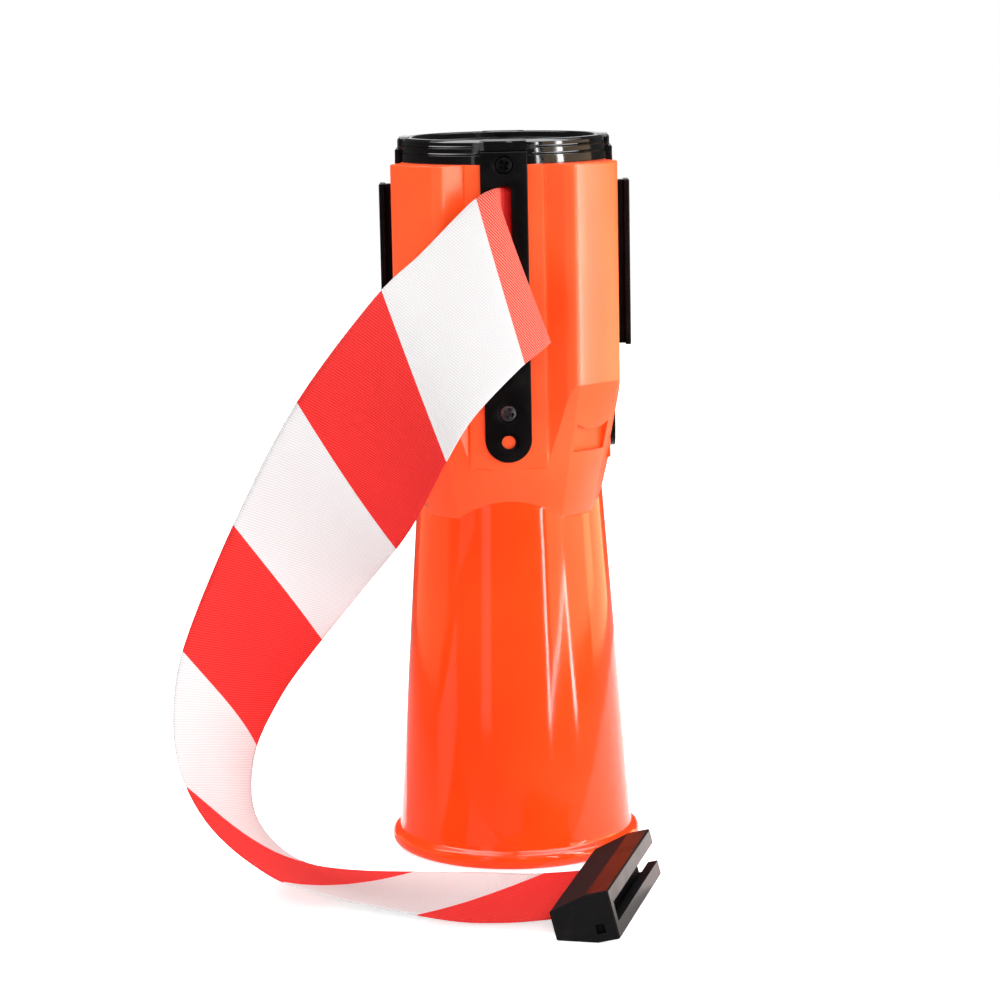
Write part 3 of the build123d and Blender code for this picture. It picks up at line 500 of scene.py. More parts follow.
def housingRings():
    # Each ring has a radius and a height for every column, and the finish of the faces that lead to it
    h = housing
    columns = columnsRound()
    gloss, satin = 0, 1
    rings = []

    def ring(skin, place):
        rings.append(([place(c) for c in columns], skin))

    def even(skin, r, z):
        ring(skin, lambda c: (r, z))

    def onSkirt(z):
        return skirtRadius(z), z

    def onTaper(c, z):
        return taperRadius(c["angle"], z), z

    def inCavity(c, z):
        return min(c["radius"], taperRadius(c["angle"], z)) - h["wall"]

    # The socket's ceiling, then its wall down to the rim
    for t in (0.02, 0.35, 0.7, 1.0):
        even(gloss, (h["socketFoot"] - h["skirtSlope"] * h["socketTop"]) * t, h["socketTop"])
    for t in (0.75, 0.5, 0.25, 0.1, 0.0):
        even(gloss, h["socketFoot"] - h["skirtSlope"] * h["socketTop"] * t, h["socketTop"] * t)
    # The rim, and the bead from its foot round to its neck
    even(gloss, h["socketFoot"] + h["rimFlat"], 0.0)
    for step in range(-90, 76, 15):
        turn = radians(step)
        even(gloss, h["beadMiddle"] + h["beadRadius"] * cos(turn), h["beadRadius"] * (1 + sin(turn)))
    even(gloss, skirtRadius(h["beadNeck"]) + h["neckSwell"], h["beadNeck"])
    # The skirt, up to the scallops
    for z in h["skirtLevels"]:
        even(gloss, *onSkirt(z))
    level = h["skirtLevels"][-1]
    for t in (0.5, 0.8, 0.93):
        ring(gloss, lambda c: onSkirt(level + (c["scallop"] - level) * t))
    for gap in (-h["scallopUnder"], 0.0):
        ring(gloss, lambda c: onSkirt(c["scallop"] + gap))
    # The taper, up to where it meets the upper body
    over = h["scallopOver"]
    soft = h["meetSoft"]
    for t in (0.0, 0.1, 0.22, 0.36, 0.5, 0.64, 0.78, 0.9):
        ring(satin, lambda c: onTaper(c, c["scallop"] + over + (c["meet"] - c["scallop"] - over - soft) * t))
    ring(satin, lambda c: onTaper(c, c["meet"] - soft))
    ring(satin, lambda c: ((taperRadius(c["angle"], c["meet"]) + c["radius"]) / 2 - h["meetDip"], c["meet"]))
    # The upper body and its top edge
    ring(satin, lambda c: (c["radius"], c["meet"] + soft))
    level = h["top"] - topEdge[0][1]
    for t in (0.12, 0.3, 0.5, 0.75):
        ring(satin, lambda c: (c["radius"], c["meet"] + (level - c["meet"]) * t))
    for inset, drop in topEdge:
        ring(satin, lambda c: (c["radius"] - inset, h["top"] - drop))
    # The deck, then the cavity's wall and floor
    share = h["deckShare"]
    ring(satin, lambda c: (c["radius"] * share + h["deckOpening"] * (1 - share), h["top"]))
    even(satin, h["deckOpening"], h["top"])
    even(satin, h["deckOpening"], h["top"] - h["wall"])
    for z in (h["top"] - h["wall"], *h["cavityLevels"], h["floorTop"]):
        ring(satin, lambda c: (inCavity(c, z), z))
    for t in (0.7, 0.35, 0.02):
        ring(satin, lambda c: (inCavity(c, h["floorTop"]) * t, h["floorTop"]))
    return columns, rings


def pocketCutter():
    # The thumb pockets: one in each corner, with a brow that hangs down in the middle
    h = housing
    bm = bmesh.new()
    half = h["pocketWidth"] / 2
    outline = [(-half, 0.0), (half, 0.0)]
    for i in range(h["pocketParts"] + 1):
        x = half - h["pocketWidth"] * i / h["pocketParts"]
        outline.append((x, h["pocketTall"] - h["pocketDip"] * (1 - (x / half) ** 2)))
    points = []
    for x, z in outline:
        back = h["pocketBack"] + h["pocketLean"] * z / h["pocketTall"]
        points.append((x, -back, h["pocketFoot"] + z))
    for quarter in range(4):
        verts, ends = pulledOut(bm, points, (0, -h["pocketReach"], 0))
        turn = Matrix.Rotation(pi / 4 + quarter * pi / 2, 3, "Z")
        bmesh.ops.rotate(bm, cent=(0, 0, 0), matrix=turn, verts=verts + ends)
    for face in bm.faces:
        face.material_index = 1
    return bm


def buildHousing():
    h = housing
    columns, rings = housingRings()
    bm = bmesh.new()
    loop = bmesh.ops.create_circle(bm, segments=len(columns), radius=mm, cap_ends=True)["verts"]
    edges = list({e for v in loop for e in v.link_edges})
    line = sorted(loop, key=lambda v: atan2(v.co.y, v.co.x))
    for i, (places, skin) in enumerate(rings):
        if i > 0:
            before = set(bm.faces)
            made = bmesh.ops.extrude_edge_only(bm, edges=edges)["geom"]
            edges = [g for g in made if isinstance(g, bmesh.types.BMEdge)]
            grown = {v for g in edges for v in g.verts}
            line = [next(e.other_vert(v) for e in v.link_edges if e.other_vert(v) in grown) for v in line]
            for face in set(bm.faces) - before:
                face.material_index = skin
        for vert, c, (r, z) in zip(line, columns, places):
            turn = c["turn"] - pi / 2
            vert.co = (r * mm * cos(turn), r * mm * sin(turn), z * mm)
    bmesh.ops.contextual_create(bm, geom=edges)
    cutter = pocketCutter()
    low = (-h["windowHalf"], -h["windowFront"], h["windowFoot"])
    high = (h["windowHalf"], -h["windowBack"], h["windowTop"])
    roundedBlock(cutter, low, high, h["windowRound"])
    bm = cutAway(bm, cutter)
    finish = [orangeGloss, orangeSatin]
    evenNormals(settle("housing_shell", bm, finish, "topper", "orange_plastic", "housing", sharp=28))


buildHousing()
print("housing made")


# Cap: tiers with grooves, a dished top, a hidden spigot and the ring that holds the cassette
cap = dict(foot=336.5, radii=(50.5, 50.0, 49.5), levels=(341.1, 344.5), top=347.8, groove=0.6, ledge=0.6,
           rimWidth=5.0, rimInside=(0.4, 1.2), rimOutside=(1.4, 1.2), skin=2.6, steps=144,
           dish=3.4, dishFlat=3.0, dishFoot=(0.5, 0.25), dishSlack=0.6,
           spigotOuter=43.4, spigotInner=41.0, spigotFoot=327.5,
           holdOuter=24.0, holdInner=22.0, holdFoot=332.7, flat=48.9, flatHalf=11.3, flatTop=342.6,
           soften=0.27, edgeAngle=24, edgeLength=1.2, edgeRadius=42.0, edgeFoot=337.2)
tab = dict(half=11.0, face=50.6, back=44.0, foot=342.6, top=348.0, chamfer=3.4, lip=49.6,
           soften=0.35, roundTop=1.5)


def capSection():
    c = cap
    dish = c["top"] - c["dish"]
    roof = dish - c["skin"]
    first, second, third = c["radii"]
    low, high = c["levels"]
    groove = c["groove"]
    well = third - c["rimWidth"]
    footIn, footUp = c["dishFoot"]
    innerDrop, innerIn = c["rimInside"]
    outerIn, outerDrop = c["rimOutside"]
    return [(0, dish), (well - c["dishFlat"], dish), (well - footIn, dish + footUp),
            (well, c["top"] - innerDrop), (well + innerIn, c["top"]), (third - outerIn, c["top"]),
            (third, c["top"] - outerDrop), (third, high + c["ledge"]),
            (second, high), (second - groove, high - groove / 2), (second, high - groove),
            (second, low + c["ledge"]),
            (first, low), (first - groove, low - groove / 2), (first, low - groove), (first, c["foot"]),
            (c["spigotOuter"], c["foot"]), (c["spigotOuter"], c["spigotFoot"]),
            (c["spigotInner"], c["spigotFoot"]), (c["spigotInner"], roof),
            (c["holdOuter"], roof), (c["holdOuter"], c["holdFoot"]),
            (c["holdInner"], c["holdFoot"]), (c["holdInner"], roof), (0, roof)]


def addTab(bm, side):
    t = tab
    outline = [(-t["half"], t["back"]), (-t["half"], t["lip"]), (-t["half"] + t["chamfer"], t["face"]),
               (t["half"] - t["chamfer"], t["face"]), (t["half"], t["lip"]), (t["half"], t["back"])]
    verts, ends = pulledOut(bm, [(x, -d, t["foot"]) for x, d in outline], (0, 0, t["top"] - t["foot"]))
    bmesh.ops.rotate(bm, cent=(0, 0, 0), matrix=sideTurn(side), verts=verts + ends)
    edges = list({e for v in verts + ends for e in v.link_edges})
    over = [e for e in edges if e.verts[0] in ends and e.verts[1] in ends]
    rest = [e for e in edges if e not in over]
    softenEdges(bm, over, t["roundTop"], segments=4)
    softenEdges(bm, [e for e in rest if e.is_valid], t["soften"])


def buildCap():
    c = cap
    bm = bmesh.new()
    # The lower tiers are flat behind each plate
    for vert in spun(bm, capSection(), steps=c["steps"]):
        for side in sideTurns:
            spin = sideTurn(side)
            local = spin.inverted() @ vert.co
            behind = abs(local.x) < c["flatHalf"] * mm and local.y < -c["flat"] * mm
            if behind and local.z < c["flatTop"] * mm:
                local.y = -c["flat"] * mm
                vert.co = spin @ local
    bmesh.ops.recalc_face_normals(bm, faces=bm.faces)
    sharp = [e for e in bm.edges if e.is_manifold and e.calc_face_angle() > radians(c["edgeAngle"])]
    long = [e for e in sharp if e.calc_length() > c["edgeLength"] * mm]
    outer = [e for e in long if hypot(*e.verts[0].co.xy) > c["edgeRadius"] * mm]
    softenEdges(bm, [e for e in outer if e.verts[0].co.z > c["edgeFoot"] * mm], c["soften"], clamp=True)
    for side in sideTurns:
        addTab(bm, side)
    # The dish's floor is satin, so that it doesn't mirror the room
    well = c["radii"][-1] - c["rimWidth"]
    for face in bm.faces:
        centre = face.calc_center_median()
        level = abs(centre.z - (c["top"] - c["dish"]) * mm)
        if hypot(*centre.xy) < well * mm and level < c["dishSlack"] * mm:
            face.material_index = 1
    settle("dished_cap", bm, [blackGloss, blackSatin], "topper", "black_gloss", "top_cap", sharp=38)


buildCap()
print("cap made")


# Plates: one blank with two screw recesses and the spare hole. The front one has the belt's slot, the others
# a T-rail.
plate = dict(width=22.0, back=49.0, face=51.8, foot=196.7, top=342.4, soften=0.45, footParts=24,
             topScrew=336.2, lowScrew=220.0, spare=206.2, between=(213, 233, 287, 331), clear=1.0,
             recess=4.3, recessDeep=2.2, shank=1.8, lip=0.35, lipRound=0.3,
             spareHole=3.25, holeEdge=0.3, spareRing=5.0, ringWall=0.5, ringFlare=0.2, ringDeep=0.9,
             slotHalf=3.2, slotFoot=246.6, slotTop=327.1, slotLip=0.8, slotArch=0.85, slotParts=12,
             railFace=60.0, railFlange=2.7, railHead=7.6, railFoot=246.6, railTop=325.9, railSoften=0.5,
             neckHalf=3.6, neckTip=1.0, neckRoot=0.4, neckShort=0.3, neckSoften=0.2)


def partedAt(bm, place, normal):
    everything = bm.verts[:] + bm.edges[:] + bm.faces[:]
    bmesh.ops.bisect_plane(bm, geom=everything, plane_co=place, plane_no=normal)


def plateBlank():
    p = plate
    bm = bmesh.new()
    radius = p["width"] / 2
    outline = [(-radius, p["top"])]
    for i in range(p["footParts"] + 1):
        turn = pi + pi * i / p["footParts"]
        outline.append((radius * cos(turn), p["foot"] + radius + radius * sin(turn)))
    outline.append((radius, p["top"]))
    points = [(x, -p["back"], z) for x, z in outline]
    ends = pulledOut(bm, points, (0, p["back"] - p["face"], 0))[1]
    rim = [e for e in bm.edges if e.verts[0] in ends and e.verts[1] in ends]
    softenEdges(bm, rim, p["soften"], segments=3)
    # The blank is parted through the holes and between them, so that no face is left with a hole inside it
    for z in sorted((p["spare"], p["lowScrew"], p["topScrew"], *p["between"])):
        partedAt(bm, (0, 0, z * mm), (0, 0, 1))
    partedAt(bm, (0, 0, 0), (1, 0, 0))
    return bm


def holeCutter():
    p = plate
    cutter = bmesh.new()
    clear = p["clear"]
    through = p["back"] - p["face"] - clear
    recess = p["recess"]
    lip = p["lip"]
    turned = lip * p["lipRound"]
    screwHole = [(0, through), (p["shank"], through), (p["shank"], -p["recessDeep"]),
                 (recess, -p["recessDeep"]), (recess, -lip), (recess + turned, -turned), (recess + lip, 0.0),
                 (recess + lip, clear), (0, clear)]
    for z in (p["topScrew"], p["lowScrew"]):
        spun(cutter, screwHole, outward(p["face"], z))
    edge = p["holeEdge"]
    spareHole = [(0, through), (p["spareHole"], through), (p["spareHole"], -p["ringDeep"] - edge),
                 (p["spareHole"] + edge, -p["ringDeep"]), (p["spareRing"] - p["ringWall"], -p["ringDeep"]),
                 (p["spareRing"], 0.0), (p["spareRing"] + p["ringFlare"], clear), (0, clear)]
    spun(cutter, spareHole, outward(p["face"], p["spare"]))
    return cutter


def slotCutter(cutter):
    # The belt's slot: a long round-ended opening with a rolled lip, bridged ring by ring
    p = plate
    lip = p["slotLip"]
    turned = lip * p["lipRound"]
    face = p["face"]
    parts = p["slotParts"]
    rings = []
    for grow, depth in ((0.0, p["back"] - p["clear"]), (0.0, face - lip), (turned, face - turned),
                        (lip, face), (lip, face + p["clear"])):
        half = p["slotHalf"] + grow
        ring = []
        for i in range(parts + 1):
            turn = pi * i / parts
            ring.append((half * cos(turn), p["slotTop"] - p["slotHalf"] + half * sin(turn) * p["slotArch"]))
        for i in range(parts + 1):
            turn = pi + pi * i / parts
            ring.append((half * cos(turn), p["slotFoot"] + p["slotHalf"] + half * sin(turn)))
        rings.append([cutter.verts.new((x * mm, -depth * mm, z * mm)) for x, z in ring])
    loops = []
    for ring in rings:
        loops.append([cutter.edges.new((a, b)) for a, b in zip(ring, ring[1:] + ring[:1])])
    for here, there in zip(loops, loops[1:]):
        bmesh.ops.bridge_loops(cutter, edges=here + there)
    cutter.faces.new(rings[0])
    cutter.faces.new(rings[-1])


def addRail(bm):
    p = plate
    low = (-p["neckHalf"], -p["railFace"] + p["neckTip"], p["railFoot"] + p["neckShort"])
    high = (p["neckHalf"], -p["face"] + p["neckRoot"], p["railTop"] - p["neckShort"])
    roundedBlock(bm, low, high, p["neckSoften"])
    low = (-p["railHead"], -p["railFace"], p["railFoot"])
    high = (p["railHead"], -p["railFace"] + p["railFlange"], p["railTop"])
    roundedBlock(bm, low, high, p["railSoften"], segments=3)


def buildPlate(name, side, node):
    cutter = holeCutter()
    if side == "front":
        slotCutter(cutter)
    bm = cutAway(plateBlank(), cutter)
    if side != "front":
        addRail(bm)
    bmesh.ops.rotate(bm, cent=(0, 0, 0), matrix=sideTurn(side), verts=bm.verts)
    settle(name, bm, [blackSatin], "topper", "black_satin", node, sharp=32)


buildPlate("front_slot_plate", "front", "outlet_plate")
buildPlate("right_rail_plate", "right", "receiver_plate_right")
buildPlate("back_rail_plate", "back", "receiver_plate_back")
buildPlate("left_rail_plate", "left", "receiver_plate_left")
print("plates made")


# Cross-head screws: a low dome with a tapered cross, each turned its own way. The dome's line gives shares
# of the head's radius and drops from its top.
screw = dict(head=4.0, tall=1.9, shank=1.7, shankEnd=-8.8, point=1.0, seat=49.6,
             domeLine=((0.0, -0.02), (0.35, 0.03), (0.7, 0.225), (0.93, 0.45), (1.0, 0.75)),
             crossHalf=2.95, crossThick=1.0, crossDeep=1.6, crossTaper=0.62, crossClear=0.6)
upperTurns = (35, 10, 62, 80)
lowerTurns = (-20, 48, 15, 70)


def crossScrew(turn):
    s = screw
    bm = bmesh.new()
    section = [(s["head"] * share, s["tall"] - drop) for share, drop in s["domeLine"]]
    section += [(s["head"], 0.0), (s["shank"], 0.0)]
    section += [(s["shank"], s["shankEnd"] + s["point"]), (0, s["shankEnd"])]
    spun(bm, section)
    long = s["crossHalf"]
    thin = s["crossThick"]
    plus = [(thin, thin), (thin, long), (-thin, long), (-thin, thin), (-long, thin), (-long, -thin),
            (-thin, -thin), (-thin, -long), (thin, -long), (thin, -thin), (long, -thin), (long, thin)]
    cutter = bmesh.new()
    over = s["tall"] + s["crossClear"]
    under = s["tall"] - s["crossDeep"]
    ends = pulledOut(cutter, [(x, y, over) for x, y in plus], (0, 0, under - over))[1]
    for vert in ends:
        vert.co.xy *= s["crossTaper"]
    spin = Matrix.Rotation(radians(turn), 3, "Z")
    bmesh.ops.rotate(cutter, cent=(0, 0, 0), matrix=spin, verts=cutter.verts)
    return cutAway(bm, cutter)


def buildScrews(name, z, turns, material, slotName, node):
    whole = bmesh.new()
    for side, turn in zip(sideTurns, turns):
        one = crossScrew(turn)
        place = sideTurn(side).to_4x4() @ outward(screw["seat"], z)
        bmesh.ops.transform(one, matrix=place, verts=one.verts)
        mesh = bpy.data.meshes.new("blank")
        one.to_mesh(mesh)
        one.free()
        whole.from_mesh(mesh)
        bpy.data.meshes.remove(mesh)
    settle(name, whole, [material], "topper", slotName, node, sharp=32)


buildScrews("upper_cross_screws", plate["topScrew"], upperTurns, blackSteel, "black_steel", "cap_screws")
buildScrews("lower_cross_screws", plate["lowScrew"], lowerTurns, zincSteel, "zinc_steel", "plate_screws")
print("screws made")


# Belt: one ribbon from the roll through the slot to the loop round the clip's rod, laid through the stations
# of the CAD strip. The loop's line is given as depth into the clip and height over its middle.
belt = dict(width=75.0, thick=0.6, steps=6, columns=24, slot=(-1.0, -50.0), foot=250.7, top=325.7,
            roll=26.6, gap=0.35, clipCorner=(15.354, -167.517, 6.496), clipAlong=(0.23345, 0.97237, 0.0),
            clipDeep=(0.94274, -0.22634, 0.24497), clipUp=(-0.2382, 0.0572, 0.9695), clipMargin=12.5,
            rodDepth=6.5, loop=2.35, loopLead=((0.0, 0.0), (2.2, 0.25), (4.3, 1.35)),
            loopTurns=(110, 70, 30, -10, -50, -90, -130), loopTail=(3.6, -0.9),
            bendFrom=(6.3, -113.9, 14.3), bendTo=(27.0, -118.9, 6.5))
# How far the print lags behind the lower edge's own length, as the cloth was pulled askew: along, then lag
printLag = [(-60, 0), (0, 2), (61, 5), (125, 0), (189, -2), (254, 4), (318, 6), (382, 12), (446, 1),
            (510, 0), (600, 0)]
# Upper and lower edge of each station
beltEdges = [
    ((-2.2, -52.2, 325.8), (0.5, -56.0, 251.0)),
    ((-3.0, -53.2, 325.9), (6.0, -63.5, 252.2)),
    ((-3.8, -53.9, 325.8), (13.0, -70.5, 254.3)),
    ((-5.0, -54.6, 325.5), (19.0, -78.5, 256.5)),
    ((-7.0, -55.6, 324.8), (19.3, -86.0, 256.6)),
    ((-11.0, -57.2, 322.9), (13.5, -96.0, 253.0)),
    ((-19.0, -61.5, 316.6), (4.5, -105.5, 247.0)),
    ((-39.0, -73.5, 297.5), (-15.5, -118.0, 228.0)),
    ((-60.0, -85.5, 279.0), (-28.5, -116.0, 207.5)),
    ((-96.0, -98.5, 233.5), (-46.5, -91.0, 172.0)),
    ((-125.0, -97.5, 181.0), (-69.0, -64.5, 141.0)),
    ((-149.5, -96.0, 126.0), (-97.0, -47.0, 105.0)),
    ((-156.5, -99.0, 97.0), (-113.5, -39.5, 81.0)),
    ((-155.0, -106.0, 68.5), (-126.0, -38.0, 54.0)),
    ((-142.5, -115.0, 43.5), (-126.0, -44.0, 26.0)),
    ((-121.0, -124.0, 25.0), (-108.0, -52.5, 7.0)),
    ((-94.5, -131.5, 13.5), (-80.0, -59.0, 1.6)),
    ((-37.0, -144.5, 4.0), (-21.5, -71.0, 3.0)),
    ((-8.0, -150.5, 3.4), (8.0, -77.5, 3.6)),
]


def smoothLine(points, steps):
    # A curve through all the points
    line = []
    for i in range(len(points) - 1):
        a = points[max(i - 1, 0)]
        b = points[i]
        c = points[i + 1]
        d = points[min(i + 2, len(points) - 1)]
        for k in range(steps):
            t = k / steps
            bend = (a * 2 - b * 5 + c * 4 - d) * (t * t / 2)
            twist = (b * 3 - a - c * 3 + d) * (t ** 3 / 2)
            line.append(b + (c - a) * (t / 2) + bend + twist)
    return line + [points[-1]]


def lengthsAlong(line):
    total = [0.0]
    for a, b in zip(line, line[1:]):
        total.append(total[-1] + (b - a).length)
    return total


def beltLines():
    b = belt
    upper = []
    lower = []
    # From the roll, in a straight line that touches it, to the slot
    radius = b["roll"] + b["gap"] + b["thick"] / 2
    slotX, slotY = b["slot"]
    angle = atan2(slotY, slotX) + acos(radius / hypot(slotX, slotY))
    start = Vector((radius * cos(angle), radius * sin(angle), 0))
    end = Vector((slotX, slotY, 0))
    for point in (start, start.lerp(end, 0.35), start.lerp(end, 0.7), end):
        upper.append(point + Vector((0, 0, b["top"])))
        lower.append(point + Vector((0, 0, b["foot"])))
    inside = len(upper) - 1
    # Through the air and along the floor
    for high, low in beltEdges:
        upper.append(Vector(high))
        lower.append(Vector(low))
    # Into the clip and round its rod
    corner = Vector(b["clipCorner"])
    along = Vector(b["clipAlong"])
    path = list(b["loopLead"])
    for step in b["loopTurns"]:
        path.append((b["rodDepth"] + b["loop"] * cos(radians(step)), b["loop"] * sin(radians(step))))
    path.append(b["loopTail"])
    for depth, height in path:
        point = corner + Vector(b["clipDeep"]) * depth + Vector(b["clipUp"]) * height
        upper.append(point + along * b["clipMargin"])
        lower.append(point + along * (b["clipMargin"] + b["width"]))
    steps = b["steps"]
    return smoothLine(upper, steps), smoothLine(lower, steps), inside * steps


def lagAt(along):
    for (a, lagA), (b, lagB) in zip(printLag, printLag[1:]):
        if along <= b:
            return lagA + (lagB - lagA) * max(0.0, along - a) / (b - a)
    return 0.0


def ribbon(upper, lower, zero, columns, lag=lambda along: 0.0):
    # A grid laid between two edge lines, with its flat lengths in the UV map
    alongUpper = lengthsAlong(upper)
    alongLower = lengthsAlong(lower)
    rows = len(upper)
    bm = bmesh.new()
    verts = bmesh.ops.create_grid(bm, x_segments=rows - 1, y_segments=columns, size=0.5)["verts"]
    flat = {}
    for vert in verts:
        i = round((vert.co.x + 0.5) * (rows - 1))
        t = vert.co.y + 0.5
        under = alongLower[i] - alongLower[zero]
        s = (alongUpper[i] - alongUpper[zero]) * (1 - t) + (under - lag(under)) * t
        flat[vert] = (s * mm, t * belt["width"] * mm)
        vert.co = upper[i].lerp(lower[i], t) * mm
    uv = bm.loops.layers.uv.new("UVMap")
    for face in bm.faces:
        for loop in face.loops:
            loop[uv].uv = flat[loop.vert]
    return bm, (alongUpper[-1] + alongLower[-1]) / 2


def thicken(piece):
    wall = piece.modifiers.new("clothThickness", "SOLIDIFY")
    wall.thickness = belt["thick"] * mm
    wall.offset = 0
    wall.use_even_offset = True


def buildBelt():
    upper, lower, zero = beltLines()
    bm, length = ribbon(upper, lower, zero, belt["columns"], lagAt)
    piece = settle("striped_belt", bm, [stripedWebbing], None, "striped_webbing",
                   "belt_inner_run", "belt_free", "belt_loop", sharp=80, recalc=False)
    thicken(piece)
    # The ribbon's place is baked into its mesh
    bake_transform(piece)
    print("belt length", round(length, 1), "mm")


buildBelt()

# Wound belt: a true spiral of the turns that are still on the hub
wound = dict(inner=15.4, outer=26.6, turns=17.5, perTurn=64, endAngle=-34, columns=2)


def buildRoll():
    b = belt
    w = wound
    count = round(w["turns"] * w["perTurn"])
    upper = []
    for i in range(count + 1):
        t = i / count
        radius = w["inner"] + (w["outer"] - w["inner"] - b["thick"] / 2) * t
        angle = radians(w["endAngle"]) + (t - 1) * w["turns"] * 2 * pi
        upper.append(Vector((radius * cos(angle), radius * sin(angle), b["top"])))
    lower = [p - Vector((0, 0, b["width"])) for p in upper]
    bm, length = ribbon(upper, lower, 0, w["columns"])
    piece = settle("wound_belt", bm, [stripedWebbing], "reel", "striped_webbing", "belt_roll",
                   sharp=80, recalc=False)
    thicken(piece)
    print("wound length", round(length, 1), "mm")


buildRoll()
print("belt made")


# Clip: the CAD solid with its moulded edges broken
clip = dict(soften=0.45, flatWithin=0.5, sharpFrom=25, lipAngle=6, lipDepth=0.5)


def buildClip():
    c = clip
    bm = bmesh.new()
    bm.from_mesh(nodes["clip_body"].data)
    bmesh.ops.remove_doubles(bm, verts=bm.verts, dist=weld)
    bmesh.ops.dissolve_limit(bm, angle_limit=radians(c["flatWithin"]), verts=bm.verts, edges=bm.edges)
    edges = [e for e in bm.edges if e.is_manifold and e.calc_face_angle() > radians(c["sharpFrom"])]
    softenEdges(bm, edges, c["soften"], clamp=True)
    # The broad faces are grained, the lip above the mouth and the mouth's own side are smooth
    for slot, side in ((1, Vector(belt["clipUp"])), (2, Vector(belt["clipDeep"]))):
        reach = max(vert.co.dot(side) for vert in bm.verts) - c["lipDepth"] * mm
        facing = [face for face in bm.faces if face.normal.angle(side) < radians(c["lipAngle"])]
        for face in facing:
            if face.calc_center_median().dot(side) > reach:
                face.material_index = slot
    finish = [blackGrain, blackLip, blackMouth]
    evenNormals(settle("soft_edged_clip", bm, finish, "end_clip", "black_matte", "clip_body", sharp=50))


buildClip()
print("clip made")


# Finishes on the CAD pieces that keep their own shape
finishes = {
    "cassette_base": greyPlastic, "cassette_top": greyPlastic, "cassette_posts": greyPlastic,
    "spring_cover": greyPlastic, "cassette_screws": zincSteel, "reel_shaft": zincSteel,
    "belt_end_bar": zincSteel, "clip_rod": zincSteel, "shaft_clip": springSteel, "power_spring": springSteel,
    "reel_bushes": bronze, "thrust_washer": whiteAcetal, "reel_hub": whiteAcetal, "reel_flange": whiteAcetal,
}
for name, material in finishes.items():
    nodes[name].data.materials.clear()
    nodes[name].data.materials.append(material)
print("CAD pieces finished")


# Floor and light, in metres: a white table in a dim room. Soft lamps on the right, on the left, in front,
# above and beside the object light it evenly, and don't show in the gloss.
studio = dict(floor="#F4F4F4", floorLift=0.7, floorDrop=0.0003, floorHalf=4, ambient=0.36, aim=(0, 0, 0.2))
plain = "#FFFFFF"
warm = "#FFCE98"
paleWarm = "#FFDDB5"
softLamps = {
    "rightSoft": dict(place=(1.55, -1.2, 0.9), size=(0.9, 1.2), power=11),
    "leftSoft": dict(place=(-1.5, -1.4, 0.9), size=(0.7, 1.2), power=4.5),
    "frontSoft": dict(place=(0.3, -1.8, 0.75), size=(0.6, 0.3), power=13),
    "topSoft": dict(place=(-0.9, 0.6, 2.0), size=(1.2, 1.2), power=36),
    "sideSoft": dict(place=(1.35, -0.1, 0.35), size=(0.5, 0.6), power=11),
}
# Strips, panels and small sparks that show only in the gloss: lower end, upper end, width and radiance
glossLamps = {
    "rightStrip": dict(low=(0.353, -0.485, 0.01), high=(0.353, -0.485, 0.55), width=0.025, glow=26),
    "leaningStrip": dict(low=(0.37, -0.47, 0.02), high=(0.53, -0.28, 0.10), width=0.012, glow=20),
    "lowStrip": dict(low=(0.556, -0.225, 0.0), high=(0.53, -0.28, 0.10), width=0.03, glow=26),
    "cornerStrip": dict(low=(0.36, -0.2, 0.16), high=(0.36, -0.2, 0.55), width=0.05, glow=26),
    "leftStrip": dict(low=(-0.28, -0.53, 0.01), high=(-0.28, -0.53, 0.55), width=0.1, glow=1.3),
    "rightPanel": dict(low=(0.97, -0.24, 0.12), high=(0.97, -0.24, 0.285), width=1.3, glow=5, colour=warm),
    "rightLow": dict(low=(0.97, -0.24, 0.0), high=(0.97, -0.24, 0.12), width=1.3, glow=4.5, colour=warm),
    "capPanel": dict(low=(0.97, -0.24, 0.29), high=(0.97, -0.24, 0.6), width=1.3, glow=1.6, colour=paleWarm),
    "behindRight": dict(low=(0.62, 0.35, 0.0), high=(0.62, 0.35, 0.24), width=0.6, glow=4, colour=warm),
    "leftLow": dict(low=(-0.62, 0.2, 0.0), high=(-0.62, 0.2, 0.24), width=0.8, glow=1.0, colour=warm),
    "behindCap": dict(low=(0.0, 1.7, 0.36), high=(0.0, 1.7, 0.8), width=1.0, glow=0.9),
    "overhead": dict(low=(-1.6, 0.0, 1.5), high=(1.6, 0.0, 1.5), width=0.9, glow=7),
    "sparkLeft": dict(low=(-0.45, -0.75, 0.8), high=(-0.45, -0.75, 0.88), width=0.1, glow=30),
    "sparkMiddle": dict(low=(0.1, -0.9, 0.86), high=(0.1, -0.9, 0.94), width=0.1, glow=30),
    "sparkRight": dict(low=(0.5, -0.7, 0.8), high=(0.5, -0.7, 0.88), width=0.1, glow=30),
}
dimWall = dict(middle=(0.16, 0.2, 0.0), radius=1.9, top=2.2, nearEdge=0.3, farEdge=0.7, cardLift=0.0004,
               near=0.5, far=0.1)


def isSeen(tree):
    # One where the camera, a reflection or a clear piece looks at it, nought where it lights the object
    path = addNode(tree, "ShaderNodeLightPath", {})
    seen = addNode(tree, "ShaderNodeMath", {
        0: path.outputs["Is Camera Ray"], 1: path.outputs["Is Glossy Ray"]}, operation="MAXIMUM")
    both = addNode(tree, "ShaderNodeMath", {
        0: seen.outputs[0], 1: path.outputs["Is Transmission Ray"]}, operation="MAXIMUM")
    return both.outputs[0]


